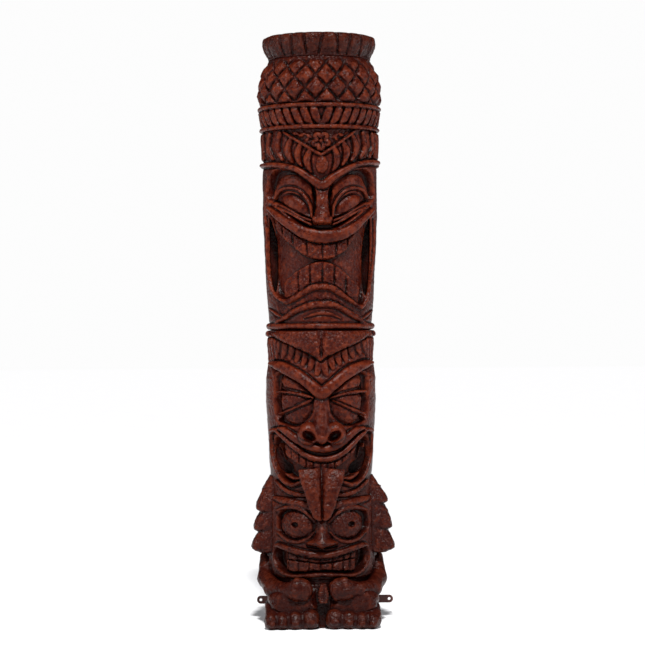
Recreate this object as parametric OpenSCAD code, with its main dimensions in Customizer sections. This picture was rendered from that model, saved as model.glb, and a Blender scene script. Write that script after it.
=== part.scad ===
// Stacked tiki figure: three carved figures under a pineapple crown, cast as hollow tiers.
// The tiers locate on plywood discs and one steel tie rod clamps them; parts that overhang a
// tier (tongue, arms, shoulder scales, feet, leaf) are cast separately and doweled on.
// Millimetres. +Z up, -Y is the front, the origin is on the floor on the figure's axis.

/* [Tier heights] */
// Squat leg tier
legs_h = 135; // [110:1:170]
// Lower figure's head tier
head_h = 265; // [230:1:320]
// Middle figure's tier
middle_h = 515; // [440:1:620]
// Upper figure's tier
upper_h = 617; // [540:1:760]
// Ribbed hat band ring
band_h = 80; // [64:1:100]
// Pineapple ring
pineapple_h = 146; // [118:1:180]
// Leaf rim ring
rim_h = 72; // [60:1:90]

/* [Radii] */
// Radius of the carved face tiers where they are widest
body_r = 178; // [150:1:220]
// How much the upper figure narrows towards its chin
upper_taper = 13; // [4:1:16]
// How much the middle figure narrows towards its chin
middle_taper = 14; // [4:1:16]
// How much the lower head is smaller than the face tiers
head_inset = 8; // [2:1:12]
// How far the pineapple bulges past the face tiers
pineapple_bulge = 18; // [8:1:26]
// How far the neck under the rim is cut in from the face tiers
neck_inset = 17; // [8:1:20]
// Radius of the round beads that ring the tiers
bead_r = 9; // [6:0.5:11]

/* [Casting] */
// Thinnest wall, where the tiers are narrowest
wall = 13; // [11:1:20]
// Wall kept behind the deepest carving of a face
face_wall = 14; // [10:1:30]
// Depth of the open mouths
mouth_depth = 34; // [20:1:40]
// Depth of the eye sockets
socket_depth = 14; // [6:1:18]
// Height of brows and lips above the face
ridge_h = 9; // [5:0.5:12]
// Gap that the adhesive fills between a separate casting and its tier
bond_gap = 0.4; // [0.3:0.1:1]

/* [Applied castings] */
// How far the tongue stands out from the faces
tongue_out = 34; // [24:1:44]
// How far the toes reach in front of the tiers
toe_reach = 34; // [24:1:60]
// Height of the feet at the instep
foot_h = 66; // [50:1:80]
// Radius of the forearms
arm_r = 27; // [22:1:32]
// How far the lowest shoulder scale stands out past the tiers
scale_flare = 50; // [40:1:64]
// How much less the right-hand scales stand out than the left
right_scale_trim = 8; // [0:1:14]

/* [Core] */
// Diameter of the steel tie rod
rod_d = 16; // [12:1:20]
// Thickness of the plywood locating discs
disc_t = 18; // [12:1:24]
// Thickness of the plywood base board
board_t = 30; // [24:1:40]
// Thickness of the plate that closes the top
cap_t = 12; // [9:1:18]
// Radial clearance between a disc and its seat
seat_clearance = 0.5; // [0.3:0.1:1]
// Radial clearance round the tie rod
rod_clearance = 1; // [0.5:0.1:2]

/* [Fixing bar] */
// How far each end of the steel bar reaches past the leg tier
bar_overhang = 45; // [30:1:80]
// Width of the bar
bar_w = 25; // [20:1:30]
// Thickness of the bar
bar_t = 5; // [4:0.5:8]
// Height of the bar's centre above the floor
bar_z = 48; // [30:1:60]
// How far the bar is off centre, towards the figure's left hand
bar_shift = 16; // [0:1:20]
// Diameter of the screw hole in each end of the bar
bar_hole_d = 9; // [6:0.5:11]
// Spacing of the two bolts that hold the bar to the leg tier
bar_bolt_pitch = 120; // [80:1:160]
// Diameter of the two bar bolts
bar_bolt_d = 8; // [6:1:10]

/* [Hidden] */

// Floor level of each tier.
z_head = legs_h;
z_middle = z_head + head_h;
z_upper = z_middle + middle_h;
z_band = z_upper + upper_h;
z_pineapple = z_band + band_h;
z_rim = z_pineapple + pineapple_h;
z_top = z_rim + rim_h;

leg_r = body_r - 4; // radius of the leg tier
head_r = body_r - head_inset + 2; // radius of the lower head where it is widest

// The common bore of every tier, and the seats that its discs sit in.
narrowest_r = body_r - max(upper_taper, middle_taper, neck_inset, head_inset);
cavity_r = narrowest_r - wall;
seat_ledge = 6; // how far a seat is cut into the wall
seat_r = cavity_r + seat_ledge;
disc_r = seat_r - seat_clearance;
face_cavity_r = narrowest_r - mouth_depth - face_wall; // radius of the bore's front half
carve_from = 0.35 * body_r; // carving starts this far in front of the axis
foot_reach = body_r + toe_reach;
scale_reach = body_r + scale_flare;
bar_len = 2 * (leg_r + bar_overhang);
past = 1; // how far a cutting solid runs past what it cuts
turned_fn = 96;
hub_fn = 48;
rod_fn = 32;
pin_fn = 24;

// Hardware, from the rod and bolt sizes.
rod_hole_r = rod_d / 2 + rod_clearance;
nut_af = 1.5 * rod_d;
nut_t = 0.8 * rod_d;
washer_r = rod_d;
washer_t = 3;
dowel_r = 5;
dowel_fit = 0.05; // radial clearance of a dowel, bolt or screw in its hole
thread_gap = 0.02; // radial gap between the rod's thread and what screws on to it
bolt_gap = 0.5; // radial gap round a bolt or the rod in a plain hole
screw_r = 2.5;

casting = [0.36, 0.11, 0.06];
casting_light = [0.45, 0.16, 0.08];
ply = [0.72, 0.56, 0.36];
steel = [0.62, 0.63, 0.65];
beech = [0.80, 0.65, 0.44];

// ---------------------------------------------------------------- outlines

function mirrored(points) = [for (i = [len(points) - 1 : -1 : 0]) [-points[i][0], points[i][1]]];

// A smooth line through points, with n steps between each two of them.
function smooth(points, n = 3) = [
    for (i = [0 : len(points) - 2]) let (
        a = points[max(i - 1, 0)], b = points[i], c = points[i + 1], d = points[min(i + 2, len(points) - 1)]
    ) for (k = [0 : n - 1]) let (t = k / n)
        0.5 * (2 * b + (c - a) * t + (2 * a - 5 * b + 4 * c - d) * t * t
            + (3 * b - a - 3 * c + d) * t * t * t),
    points[len(points) - 1]
];

function side_step(points, i) = let (
    before = points[max(i - 1, 0)], after = points[min(i + 1, len(points) - 1)], along = after - before
) [-along[1], along[0]] / norm(along);

// The outline of a band of a given width along a line.
function ribbon(points, width) = concat(
    [for (i = [0 : len(points) - 1]) points[i] + side_step(points, i) * width / 2],
    [for (i = [len(points) - 1 : -1 : 0]) points[i] - side_step(points, i) * width / 2]
);

module band_line(points, width) polygon(ribbon(points, width));

// ---------------------------------------------------------------- tiers as turned solids

// A tier is turned from a profile, a list of [height, radius]. grow moves its surface out.
module turned(profile, grow = 0) {
    low = profile[0][0];
    high = profile[len(profile) - 1][0];
    rotate_extrude($fn = turned_fn)
        polygon(concat([[0, low]], [for (p = profile) [p[1] + grow, p[0]]], [[0, high]]));
}

upper_profile = [
    [z_upper, body_r - upper_taper], [z_upper + 0.14 * upper_h, body_r - upper_taper],
    [z_upper + 0.45 * upper_h, body_r - 2], [z_upper + 0.84 * upper_h, body_r + 1], [z_band, body_r + 6]
];
middle_profile = [
    [z_middle, body_r - middle_taper], [z_middle + 0.12 * middle_h, body_r - middle_taper],
    [z_middle + 0.35 * middle_h, body_r - 5], [z_middle + 0.6 * middle_h, body_r - 2],
    [z_middle + 0.85 * middle_h, body_r - 9], [z_upper, body_r - 9]
];
head_profile = [
    [z_head, body_r - head_inset], [z_head + 0.35 * head_h, head_r], [z_middle, body_r - head_inset]
];
leg_profile = [[0, leg_r], [z_head, leg_r]];

module bore(low, high) translate([0, 0, low - past])
    cylinder(r = cavity_r, h = high - low + 2 * past, $fn = turned_fn);

// The bore behind a carved face has a narrower front half, clear of the deepest carving.
module face_bore(low, high) {
    translate([0, 0, low - past]) cylinder(r = face_cavity_r, h = high - low + 2 * past, $fn = turned_fn);
    intersection() {
        bore(low, high);
        translate([-body_r, 0, low - 2 * past]) cube([2 * body_r, body_r, high - low + 4 * past]);
    }
}

// Half a disc's seat above or below a joint.
module seat(joint) translate([0, 0, joint - disc_t / 2])
    cylinder(r = seat_r, h = disc_t, $fn = turned_fn);

module ring_bead(height, radius) translate([0, 0, height])
    rotate_extrude($fn = turned_fn) translate([radius, 0]) circle(r = bead_r, $fn = pin_fn);

// Extrudes an outline, drawn in X and Z, through what lies in front of a plane.
module front(from = 0) translate([0, -from, 0]) rotate([90, 0, 0]) linear_extrude(2 * body_r) children();

// What of an outline lies within grow of a tier's surface.
module raised(profile, grow) intersection() {
    front() children();
    turned(profile, grow);
}

// What an outline cuts from a tier to a depth.
module sunk(profile, depth) difference() {
    front(carve_from) children();
    turned(profile, -depth);
}

// ---------------------------------------------------------------- crown

rim_profile = [
    [z_rim, body_r - neck_inset], [z_rim + 0.35 * rim_h, body_r - 6], [z_rim + 0.75 * rim_h, body_r + 1],
    [z_top - 8, body_r], [z_top, body_r - 12]
];
pineapple_profile = [
    [z_pineapple, body_r + 8], [z_pineapple + 0.2 * pineapple_h, body_r + 0.9 * pineapple_bulge],
    [z_pineapple + 0.42 * pineapple_h, body_r + pineapple_bulge],
    [z_pineapple + 0.7 * pineapple_h, body_r + 0.55 * pineapple_bulge],
    [z_pineapple + 0.9 * pineapple_h, body_r - 6], [z_rim, body_r - neck_inset]
];
spigot_h = 20; // the pineapple ring's spigot, inside the hat band
spigot_t = 7;
spigot_r = cavity_r - seat_clearance;
leaf_count = 20;
lattice_count = 14;
lattice_lean = 38;
groove_w = 5;
groove_d = 4;
cap_ledge = 2;
cap_seat_r = cavity_r + cap_ledge;

module leaf_rim() color(casting) difference() {
    turned(rim_profile);
    bore(z_rim, z_top);
    seat(z_rim);
    translate([0, 0, z_top - cap_t])
        cylinder(r = cap_seat_r + seat_clearance, h = cap_t + past, $fn = turned_fn);
    for (i = [0 : leaf_count - 1]) rotate([0, 0, (i + 0.5) * 360 / leaf_count])
        translate([body_r - neck_inset, -groove_w / 2, z_rim - past])
            cube([8 * groove_d, groove_w, rim_h + 2 * past]);
    for (a = screw_angles) rotate([0, 0, a]) top_screw_hole();
}

// Straight cuts across the pineapple, leaning one way or the other.
module lattice_cut(lean) {
    reach = body_r + pineapple_bulge;
    for (i = [0 : lattice_count - 1]) rotate([0, 0, i * 360 / lattice_count])
        translate([0, -reach, z_pineapple + pineapple_h / 2]) rotate([0, lean, 0])
            translate([-groove_w / 2, -groove_d, -pineapple_h])
                cube([groove_w, 3 * groove_d, 2 * pineapple_h]);
}

module pineapple_shell() color(casting) difference() {
    union() {
        turned(pineapple_profile);
        translate([0, 0, z_pineapple - spigot_h])
            cylinder(r = spigot_r, h = spigot_h + past, $fn = turned_fn);
    }
    translate([0, 0, z_pineapple - spigot_h - past])
        cylinder(r = spigot_r - spigot_t, h = pineapple_h + spigot_h + 2 * past, $fn = turned_fn);
    seat(z_rim);
    lattice_cut(lattice_lean);
    lattice_cut(-lattice_lean);
}

band_rib_count = 40;
band_rib_lean = 12;
band_low_r = body_r + 4; // radii of the hat band at its foot and at its top
band_top_r = body_r + 8;
rib_margin = 2.4 * bead_r; // the ribs stop short of the beads by this

module hat_band() color(casting_light) difference() {
    band_profile = [[z_band, band_low_r], [z_band + 0.3 * band_h, band_top_r], [z_pineapple, band_top_r]];
    union() {
        turned(band_profile);
        intersection() {
            union() {
                ring_bead(z_pineapple - bead_r, band_top_r);
                ring_bead(z_band + bead_r, band_low_r);
            }
            translate([0, 0, z_band]) cylinder(r = 2 * body_r, h = band_h, $fn = turned_fn);
        }
    }
    bore(z_band, z_pineapple);
    seat(z_band);
    for (i = [0 : band_rib_count - 1]) rotate([0, 0, (i + 0.5) * 360 / band_rib_count])
        translate([band_low_r - 1, -groove_w / 2, z_band + rib_margin]) rotate([band_rib_lean, 0, 0])
            cube([4 * groove_d, groove_w, band_h - 2 * rib_margin]);
}

// ---------------------------------------------------------------- upper figure

// Heights on the upper figure's face are measured up from the tier's floor.
// The outlines are drawn for a tier of the height written here, and stretch with the tier.
upper_drawn_h = 624;
function upper(points) = [for (p = points) [p[0], z_upper + p[1] * upper_h / upper_drawn_h]];

upper_brow = upper([[-186, 530], [-134, 512], [-98, 502], [-63, 487], [-28, 466], [0, 449], [25, 464],
    [60, 488], [96, 506], [131, 518], [186, 532]]);
upper_vee = upper([[-108, 606], [5, 543], [104, 614]]);
upper_lip = upper([[-156, 378], [-98, 330], [-63, 304], [-28, 287], [7, 280], [42, 287], [78, 308],
    [113, 336], [156, 374]]);
upper_mouth = concat(upper_lip, upper([[152, 130], [138, 92], [120, 86], [84, 110], [46, 132], [0, 138],
    [-42, 134], [-84, 112], [-120, 86], [-140, 92], [-150, 130]]));
lower_lip = upper([[-140, 92], [-120, 82], [-84, 104], [-42, 126], [0, 132], [46, 125], [84, 104],
    [120, 80], [140, 92]]);
chin_ridge = upper([[-152, 34], [-110, 48], [-60, 70], [0, 80], [60, 70], [110, 48], [152, 32]]);
upper_bridge = upper([[-12, 446], [12, 446], [26, 312], [-26, 312]]);
upper_teeth_x = [-152, -125, -91, -43, 6, 53, 91, 122, 152];
lower_teeth_x = [-118, -81, -38, 6, 48, 84, 118];
tooth_gap = 3;
tooth_drop = 8; // how far below its lip's centre line a tooth starts
nose_out = ridge_h + 3;
hat_rib_pitch = 22;
hat_rib_rows = 6;

// How high a line through points is at x.
function height_at(points, x) = lookup(x, [for (p = points) [p[0], p[1]]]);

module tooth(line, left, right, near, far) polygon([
    [left, height_at(line, left) + near], [right, height_at(line, right) + near],
    [right, height_at(line, right) + far], [left, height_at(line, left) + far]
]);

module tooth_row(line, edges, near, far) for (i = [0 : len(edges) - 2])
    tooth(line, edges[i] + tooth_gap / 2, edges[i + 1] - tooth_gap / 2, near, far);

upper_eye = upper([[-146, 408], [-128, 436], [-100, 446], [-66, 432], [-42, 404], [-34, 370], [-62, 368],
    [-104, 384]]);
upper_socket = upper([[-158, 404], [-150, 470], [-104, 478], [-60, 462], [-24, 434], [-20, 358],
    [-50, 344], [-98, 356]]);

module upper_tiki_shell() color(casting) difference() {
    union() {
        difference() {
            turned(upper_profile);
            sunk(upper_profile, mouth_depth) polygon(smooth(upper_mouth, 2));
            sunk(upper_profile, socket_depth) {
                polygon(upper_socket);
                polygon(mirrored(upper_socket));
            }
        }
        raised(upper_profile, ridge_h) {
            band_line(smooth(upper_brow, 2), 20);
            band_line(smooth(upper_lip, 2), 26);
            band_line(smooth(lower_lip, 2), 18);
            band_line(smooth(chin_ridge, 2), 16);
            band_line(upper_vee, 8);
        }
        raised(upper_profile, ridge_h / 2) upper_hat_ribs();
        raised(upper_profile, -socket_depth / 3) {
            polygon(upper_eye);
            polygon(mirrored(upper_eye));
        }
        raised(upper_profile, nose_out) polygon(upper_bridge);
        raised(upper_profile, -mouth_depth / 4) {
            tooth_row(upper_lip, upper_teeth_x, -tooth_drop, -52);
            tooth_row(lower_lip, lower_teeth_x, 4, 52);
        }
        intersection() {
            ring_bead(z_upper + bead_r + 5, body_r - upper_taper);
            translate([0, 0, z_upper]) cylinder(r = 2 * body_r, h = upper_h, $fn = turned_fn);
        }
    }
    face_bore(z_upper, z_band);
    seat(z_upper);
    seat(z_band);
}

// Ribs of the hat between its flower panel and the brow.
module upper_hat_ribs() for (side = [-1, 1]) for (i = [0 : hat_rib_rows]) {
    x = side * hat_rib_pitch * (1 + i);
    top = min(height_at(upper_vee, x), z_band - bead_r) - 8;
    foot = height_at(upper_brow, x) + 10;
    polygon([[x - 6, foot], [x + 4, foot], [x + 6 + side * 2, top], [x - 4 + side * 2, top]]);
}

// ---------------------------------------------------------------- middle figure

middle_drawn_h = 508;
function middle(points) = [for (p = points) [p[0], z_middle + p[1] * middle_h / middle_drawn_h]];

middle_plate = middle([[-172, 486], [-140, 468], [-98, 456], [-62, 442], [-30, 428], [0, 412], [30, 428],
    [62, 444], [98, 460], [140, 474], [172, 490]]);
middle_brow = middle([[-170, 408], [-120, 392], [-70, 366], [-30, 340], [0, 322], [34, 346], [76, 376],
    [120, 396], [170, 412]]);
middle_lip = middle([[-160, 190], [-140, 184], [-106, 158], [-70, 130], [-34, 114], [0, 108], [36, 114],
    [76, 136], [112, 168], [140, 190], [160, 200]]);
middle_jaw = middle([[-156, 190], [-150, 110], [-134, 70], [-100, 44], [-50, 34], [0, 32], [50, 34],
    [100, 42], [134, 66], [150, 110], [156, 196]]);
middle_teeth_x = [-100, -74, -44, -8, 28, 60, 92];
middle_socket = middle([[-146, 350], [-138, 236], [-90, 216], [-40, 240], [-30, 300], [-60, 330],
    [-100, 354]]);
middle_eye = middle([[-138, 330], [-132, 242], [-40, 290], [-44, 308]]);
middle_nose = middle([[-14, 318], [14, 318], [24, 226], [64, 186], [58, 150], [24, 146], [-24, 146],
    [-58, 150], [-66, 186], [-24, 226]]);
middle_nose_out = ridge_h + 6;
middle_mouth = concat(middle_lip, [for (i = [len(middle_jaw) - 2 : -1 : 1]) middle_jaw[i] + [0, 12]]);
fringe_pitch = 23;
fringe_w = 16;

module middle_tiki_shell() color(casting) difference() {
    union() {
        difference() {
            turned(middle_profile);
            sunk(middle_profile, 0.8 * mouth_depth) polygon(middle_mouth);
            sunk(middle_profile, socket_depth) {
                polygon(middle_socket);
                polygon(mirrored(middle_socket));
            }
        }
        raised(middle_profile, ridge_h) {
            band_line(smooth(middle_brow, 2), 26);
            band_line(smooth(middle_lip, 2), 18);
            band_line(smooth(middle_jaw, 2), 12);
        }
        raised(middle_profile, ridge_h / 2) {
            polygon(concat(middle_plate, [[172, z_upper - 2], [-172, z_upper - 2]]));
            middle_fringe();
        }
        raised(middle_profile, -socket_depth / 3) {
            polygon(middle_eye);
            polygon(mirrored(middle_eye));
        }
        raised(middle_profile, middle_nose_out) polygon(middle_nose);
        raised(middle_profile, -mouth_depth / 6) tooth_row(middle_lip, middle_teeth_x, -6, -38);
        intersection() {
            ring_bead(z_upper - bead_r, body_r - 9);
            translate([0, 0, z_middle]) cylinder(r = 2 * body_r, h = middle_h, $fn = turned_fn);
        }
    }
    face_bore(z_middle, z_upper);
    seat(z_middle);
    seat(z_upper);
    tongue_form(bond_gap);
    for (p = tongue_pins) tongue_pin(p, dowel_fit);
}

module middle_fringe() for (side = [-1, 1]) for (i = [0 : 6]) {
    x = side * fringe_pitch * (0.5 + i);
    top = height_at(middle_plate, x) - 6;
    foot = height_at(middle_brow, x) + 18;
    translate([x - fringe_w / 2, foot]) square([fringe_w, top - foot]);
}

// ---------------------------------------------------------------- lower head

lower_drawn_h = 265;
function lower(points) = [for (p = points) [p[0], z_head + p[1] * head_h / lower_drawn_h]];

lower_mouth = lower([[-150, 92], [-130, 98], [-80, 84], [-36, 72], [0, 68], [40, 72], [84, 84],
    [130, 100], [150, 92], [146, 54], [118, 26], [60, 24], [0, 28], [-60, 22], [-112, 26], [-142, 54]]);
lower_brow = lower([[-160, 214], [-110, 232], [-60, 224], [-24, 202], [24, 202], [60, 224], [110, 234],
    [160, 216]]);
lower_upper_lip = lower([[-150, 104], [-110, 102], [-60, 88], [0, 78], [60, 88], [110, 104], [150, 106]]);
lower_jaw = lower([[-156, 96], [-154, 52], [-122, 18], [-60, 12], [0, 18], [60, 13], [122, 18], [154, 54],
    [156, 98]]);
lower_nose = lower([[-8, 196], [8, 196], [24, 140], [58, 116], [0, 104], [-58, 116], [-24, 140]]);
bite_teeth_x = [-124, -96, -68, -36, 0, 34, 66, 96, 124];
lower_bite = lower([[-130, 62], [-60, 56], [0, 44], [60, 54], [130, 66]]);
eye_r = 46;
eye_margin = 8; // width of the socket round the eyeball
eye_x = 86;
eye_up = 176;
pupil_r = 8;
pupil_depth = 8;

module at_eye(side) translate([side * eye_x, z_head + eye_up]) children();

module lower_head_shell() color(casting) difference() {
    union() {
        difference() {
            turned(head_profile);
            sunk(head_profile, 0.7 * mouth_depth) polygon(lower_mouth);
            for (side = [-1, 1]) sunk(head_profile, socket_depth)
                at_eye(side) circle(r = eye_r + eye_margin, $fn = hub_fn);
        }
        raised(head_profile, ridge_h / 2) {
            band_line(smooth(lower_brow, 2), 18);
            band_line(smooth(lower_upper_lip, 2), 16);
            band_line(smooth(lower_jaw, 2), 14);
        }
        for (side = [-1, 1]) raised(head_profile, ridge_h / 3) at_eye(side) circle(r = eye_r, $fn = hub_fn);
        raised(head_profile, middle_nose_out) polygon(lower_nose);
        raised(head_profile, -mouth_depth / 5) {
            tooth_row(lower_bite, bite_teeth_x, 1, 26);
            tooth_row(lower_bite, bite_teeth_x, -24, -2);
        }
    }
    face_bore(z_head, z_middle);
    seat(z_head);
    seat(z_middle);
    for (side = [-1, 1]) sunk(head_profile, pupil_depth) at_eye(side) circle(r = pupil_r, $fn = pin_fn);
    tongue_form(bond_gap);
    for (p = tongue_pins) tongue_pin(p, dowel_fit);
    for (side = [-1, 1]) for (p = scale_pins) scale_pin(side, p, dowel_fit);
    for (side = [-1, 1]) arm_pin(side, arm_pins[0], dowel_fit);
}

// ---------------------------------------------------------------- legs and what is fixed on them

bar_depth = 8; // depth of the slot across the back of the leg tier
bar_y = leg_r - bar_depth; // front face of the bar
bar_slot_gap = 1;

module leg_shell() color(casting) difference() {
    union() {
        turned(leg_profile);
        for (side = [-1, 1]) thigh(side);
    }
    bore(0, z_head);
    translate([0, 0, -past]) cylinder(r = seat_r, h = board_t + past, $fn = turned_fn);
    seat(z_head);
    translate([-body_r, bar_y, bar_z - bar_w / 2 - bar_slot_gap])
        cube([2 * body_r, body_r, bar_w + 2 * bar_slot_gap]);
    for (x = bar_bolts) translate([x, 0, bar_z]) rotate([-90, 0, 0])
        cylinder(r = bar_bolt_d / 2 + dowel_fit, h = body_r, $fn = pin_fn);
    for (side = [-1, 1]) for (p = foot_pins) foot_pin(side, p, dowel_fit);
    for (side = [-1, 1]) arm_pin(side, arm_pins[1], dowel_fit);
    leaf_pin(dowel_fit);
    for (a = screw_angles) rotate([0, 0, a]) board_screw_hole();
}

thigh_low = foot_h - 16;
thigh_r = 0.42 * body_r;
thigh_at = [0.52 * body_r, -0.62 * body_r, foot_h + 12];

module thigh_ball(side, gap) joint_ball(side, thigh_at, thigh_r + gap, hub_fn);

// A bent thigh on the front of the leg tier.
module thigh(side) intersection() {
    thigh_ball(side, 0);
    translate([-body_r, -2 * body_r, thigh_low]) cube([2 * body_r, 2 * body_r, legs_h - thigh_low - 6]);
}

foot_in = 12;
foot_out = body_r + 8;
toe_r = 19;
toe_back = [0, 4, 8, 20]; // how far each toe stands back from the longest, from the inside out
toe_margin = 23; // from the first and last toe's centre to the foot's sides
toe_rise = 10;

// Round corners of the foot: [across, front to back, radius, height].
foot_corners = [
    [foot_in + 30, -foot_reach + 46, 28, 34], [foot_out - 32, -foot_reach + 62, 30, 30],
    [foot_in + 34, -0.5 * body_r, 30, foot_h], [foot_out - 40, -0.3 * body_r, 36, foot_h]
];

module foot_form(side) {
    hull() for (c = foot_corners) translate([side * c[0], c[1], 0])
        cylinder(r = c[2], h = c[3], $fn = rod_fn);
    for (i = [0 : len(toe_back) - 1]) {
        x = foot_in + toe_margin + i * (foot_out - foot_in - 2 * toe_margin) / (len(toe_back) - 1);
        y = -foot_reach + toe_r + toe_back[i];
        hull() {
            joint_ball(side, [x, y, toe_r], toe_r);
            joint_ball(side, [x, y + 1.6 * toe_r, toe_r + toe_rise], toe_r);
        }
    }
}

// A foot stands in front of the leg tier, cut to its surface.
module foot(side) color(casting) difference() {
    foot_form(side);
    turned([[-past, leg_r + bond_gap], [z_head, leg_r + bond_gap]]);
    thigh_clearance(side);
    translate([-2 * body_r, -2 * body_r, -body_r]) cube([4 * body_r, 4 * body_r, body_r]);
    for (p = foot_pins) foot_pin(side, p, dowel_fit);
}

module thigh_clearance(side) intersection() {
    thigh_ball(side, bond_gap);
    translate([-body_r, -2 * body_r, thigh_low - bond_gap]) cube([2 * body_r, 2 * body_r, body_r]);
}

module left_foot() foot(1);
module right_foot() foot(-1);

foot_pins = [0.28, 0.68];
foot_pin_len = 44;
foot_pin_z = 20;

// Foot dowels run along Y, at a share of the tier's radius from the axis.
module foot_pin(side, share, gap)
    translate([side * share * body_r, -sqrt(1 - share * share) * leg_r, foot_pin_z]) rotate([90, 0, 0])
        cylinder(r = dowel_r + gap, h = foot_pin_len, center = true, $fn = pin_fn);

module foot_dowels() color(beech) for (side = [-1, 1]) for (p = foot_pins) foot_pin(side, p, 0);

// ---------------------------------------------------------------- arms

hand = [0.3 * body_r, -body_r - 12, legs_h - 16];
// The arm's joints, from the shoulder to the fist, each with the arm's radius there.
arm_joints = [
    [[leg_r, 10, legs_h + 58], arm_r - 4], [[body_r + 2, -30, legs_h - 12], arm_r],
    [[0.86 * body_r, -0.62 * body_r, legs_h - 18], arm_r - 1],
    [[0.52 * body_r, -body_r - 6, legs_h - 22], arm_r - 7], [hand, arm_r - 6]
];
finger_count = 3;
finger_r = 9;

module joint_ball(side, at, radius, facets = pin_fn) translate([side * at[0], at[1], at[2]])
    sphere(r = radius, $fn = facets);

module arm_form(side) {
    for (i = [0 : len(arm_joints) - 2]) hull() for (joint = [arm_joints[i], arm_joints[i + 1]])
        joint_ball(side, joint[0], joint[1]);
    for (i = [0 : finger_count - 1]) hull() {
        joint_ball(side, hand + [6 - finger_r * i, -10, 4 - 12 * i], finger_r);
        joint_ball(side, hand + [-18 - 3 * i, -2, 18 - 14 * i], finger_r - 1);
    }
}

module arm(side) color(casting_light) difference() {
    arm_form(side);
    turned([[-past, leg_r + bond_gap], [z_head + bond_gap, leg_r + bond_gap]]);
    turned([[z_head - past, head_r + bond_gap], [z_middle, head_r + bond_gap]]);
    jaw_clearance();
    thigh_clearance(side);
    foot_clearance(side);
    scale_clearance(side);
    for (p = arm_pins) arm_pin(side, p, dowel_fit);
}

// The jaw line of the lower head, which the arms tuck under.
module jaw_clearance() translate([0, 0, z_head - bond_gap]) rotate([0, 0, 180])
    intersection() {
        cylinder(r = body_r + ridge_h + bond_gap, h = head_h / 2, $fn = turned_fn);
        translate([-0.9 * body_r, 0, 0]) cube([1.8 * body_r, 2 * body_r, head_h]);
    }

module foot_clearance(side) translate([-2 * body_r, -2 * body_r, -body_r])
    cube([4 * body_r, 4 * body_r, body_r + foot_h + bond_gap]);

module scale_clearance(side) turned_sector(side, [
    [z_head + scale_foot - bond_gap, cavity_r], [z_head + scale_foot - bond_gap, 2 * body_r],
    [z_middle, 2 * body_r], [z_middle, cavity_r]
]);

arm_pins = [[-8, 34], [38, -20]]; // [angle in front of the side, height above the joint]
arm_pin_len = 30;

module arm_pin(side, at, gap) rotate([0, 0, side > 0 ? -at[0] : 180 + at[0]])
    translate([body_r - 8, 0, z_head + at[1]]) rotate([0, 90, 0])
        cylinder(r = dowel_r + gap, h = arm_pin_len, center = true, $fn = pin_fn);

module arm_dowels() color(beech) for (side = [-1, 1]) for (p = arm_pins) arm_pin(side, p, 0);
module left_arm() arm(1);
module right_arm() arm(-1);

// ---------------------------------------------------------------- shoulder scales

scale_from = -22; // the scales run from this angle, in front of the side, to scale_to behind it
scale_to = 58;
scale_foot = 73; // height of the lowest scale's tip above the leg tier
scale_shoulder = 40; // height of the shoulder above the head tier

// Turns a section, a list of [height, radius], through the scales' sector.
module turned_sector(side, section) rotate([0, 0, side > 0 ? scale_from : 180 - scale_to])
    rotate_extrude(angle = scale_to - scale_from, $fn = turned_fn) polygon([for (p = section) [p[1], p[0]]]);

// Three scales below a shoulder: each flares out to a corner and is undercut below it.
function scale_section(reach) = let (
    inner = head_r + bond_gap, low = z_head + scale_foot, tall = z_middle + scale_shoulder - low
) [
    [low, inner], [low + 0.16 * tall, reach],
    [low + 0.36 * tall, reach - 24], [low + 0.40 * tall, reach - 10],
    [low + 0.62 * tall, reach - 28], [low + 0.67 * tall, reach - 16],
    [low + 0.84 * tall, reach - 42], [low + 0.92 * tall, reach - 40], [low + tall, inner]
];

scale_pins = [100, 220]; // heights above the head tier's floor
scale_pin_angle = 10; // behind the side
scale_pin_len = 34;

module scale_pin(side, height, gap) rotate([0, 0, side > 0 ? scale_pin_angle : 180 - scale_pin_angle])
    translate([body_r - 2, 0, z_head + height]) rotate([0, 90, 0])
        cylinder(r = dowel_r + gap, h = scale_pin_len, center = true, $fn = pin_fn);

module scales(side, reach) color(casting_light) difference() {
    turned_sector(side, scale_section(reach));
    for (p = scale_pins) scale_pin(side, p, dowel_fit);
}

module left_shoulder_scales() scales(1, scale_reach);
module right_shoulder_scales() scales(-1, scale_reach - right_scale_trim);
module scale_dowels() color(beech) for (side = [-1, 1]) for (p = scale_pins) scale_pin(side, p, 0);

// ---------------------------------------------------------------- tongue and leaf

tongue_top = 84; // height of the tongue's root above the joint
tongue_drop = 76; // how far its tip hangs below the joint
tongue_w = 148;
tongue_tip_w = 74;

tongue_face_r = body_r + tongue_out - 6;
tongue_slit_w = 3;
tongue_slit_depth = 6;
tongue_pins = [0.45, -0.4]; // heights, as shares of the tongue's height above the joint
tongue_pin_len = 40;
pin_cover = 6; // what is left of a casting in front of its dowel

// A dowel ends inside the tongue, short of the slit.
module tongue_pin(share, gap)
    translate([0, -tongue_face_r + tongue_slit_depth + pin_cover, z_middle + share * tongue_top])
    rotate([-90, 0, 0]) cylinder(r = dowel_r + gap, h = tongue_pin_len, $fn = pin_fn);

// Half of the tongue's outline, from its root down: [across, height].
tongue_half = [
    [tongue_w / 2, tongue_top], [0.4 * tongue_w, 10], [tongue_tip_w / 2, 24 - tongue_drop],
    [tongue_tip_w / 3, -tongue_drop]
];

module tongue_form(grow = 0) difference() {
    intersection() {
        front() offset_outline(concat(tongue_half, mirrored(tongue_half)), grow);
        translate([0, 0, z_middle - 2 * tongue_drop])
            cylinder(r = tongue_face_r, h = 4 * tongue_drop, $fn = turned_fn);
    }
    translate([0, 0, z_middle - 2 * tongue_drop - past])
        cylinder(r = body_r + 1 - grow, h = 4 * tongue_drop + 2 * past, $fn = turned_fn);
}

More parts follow.
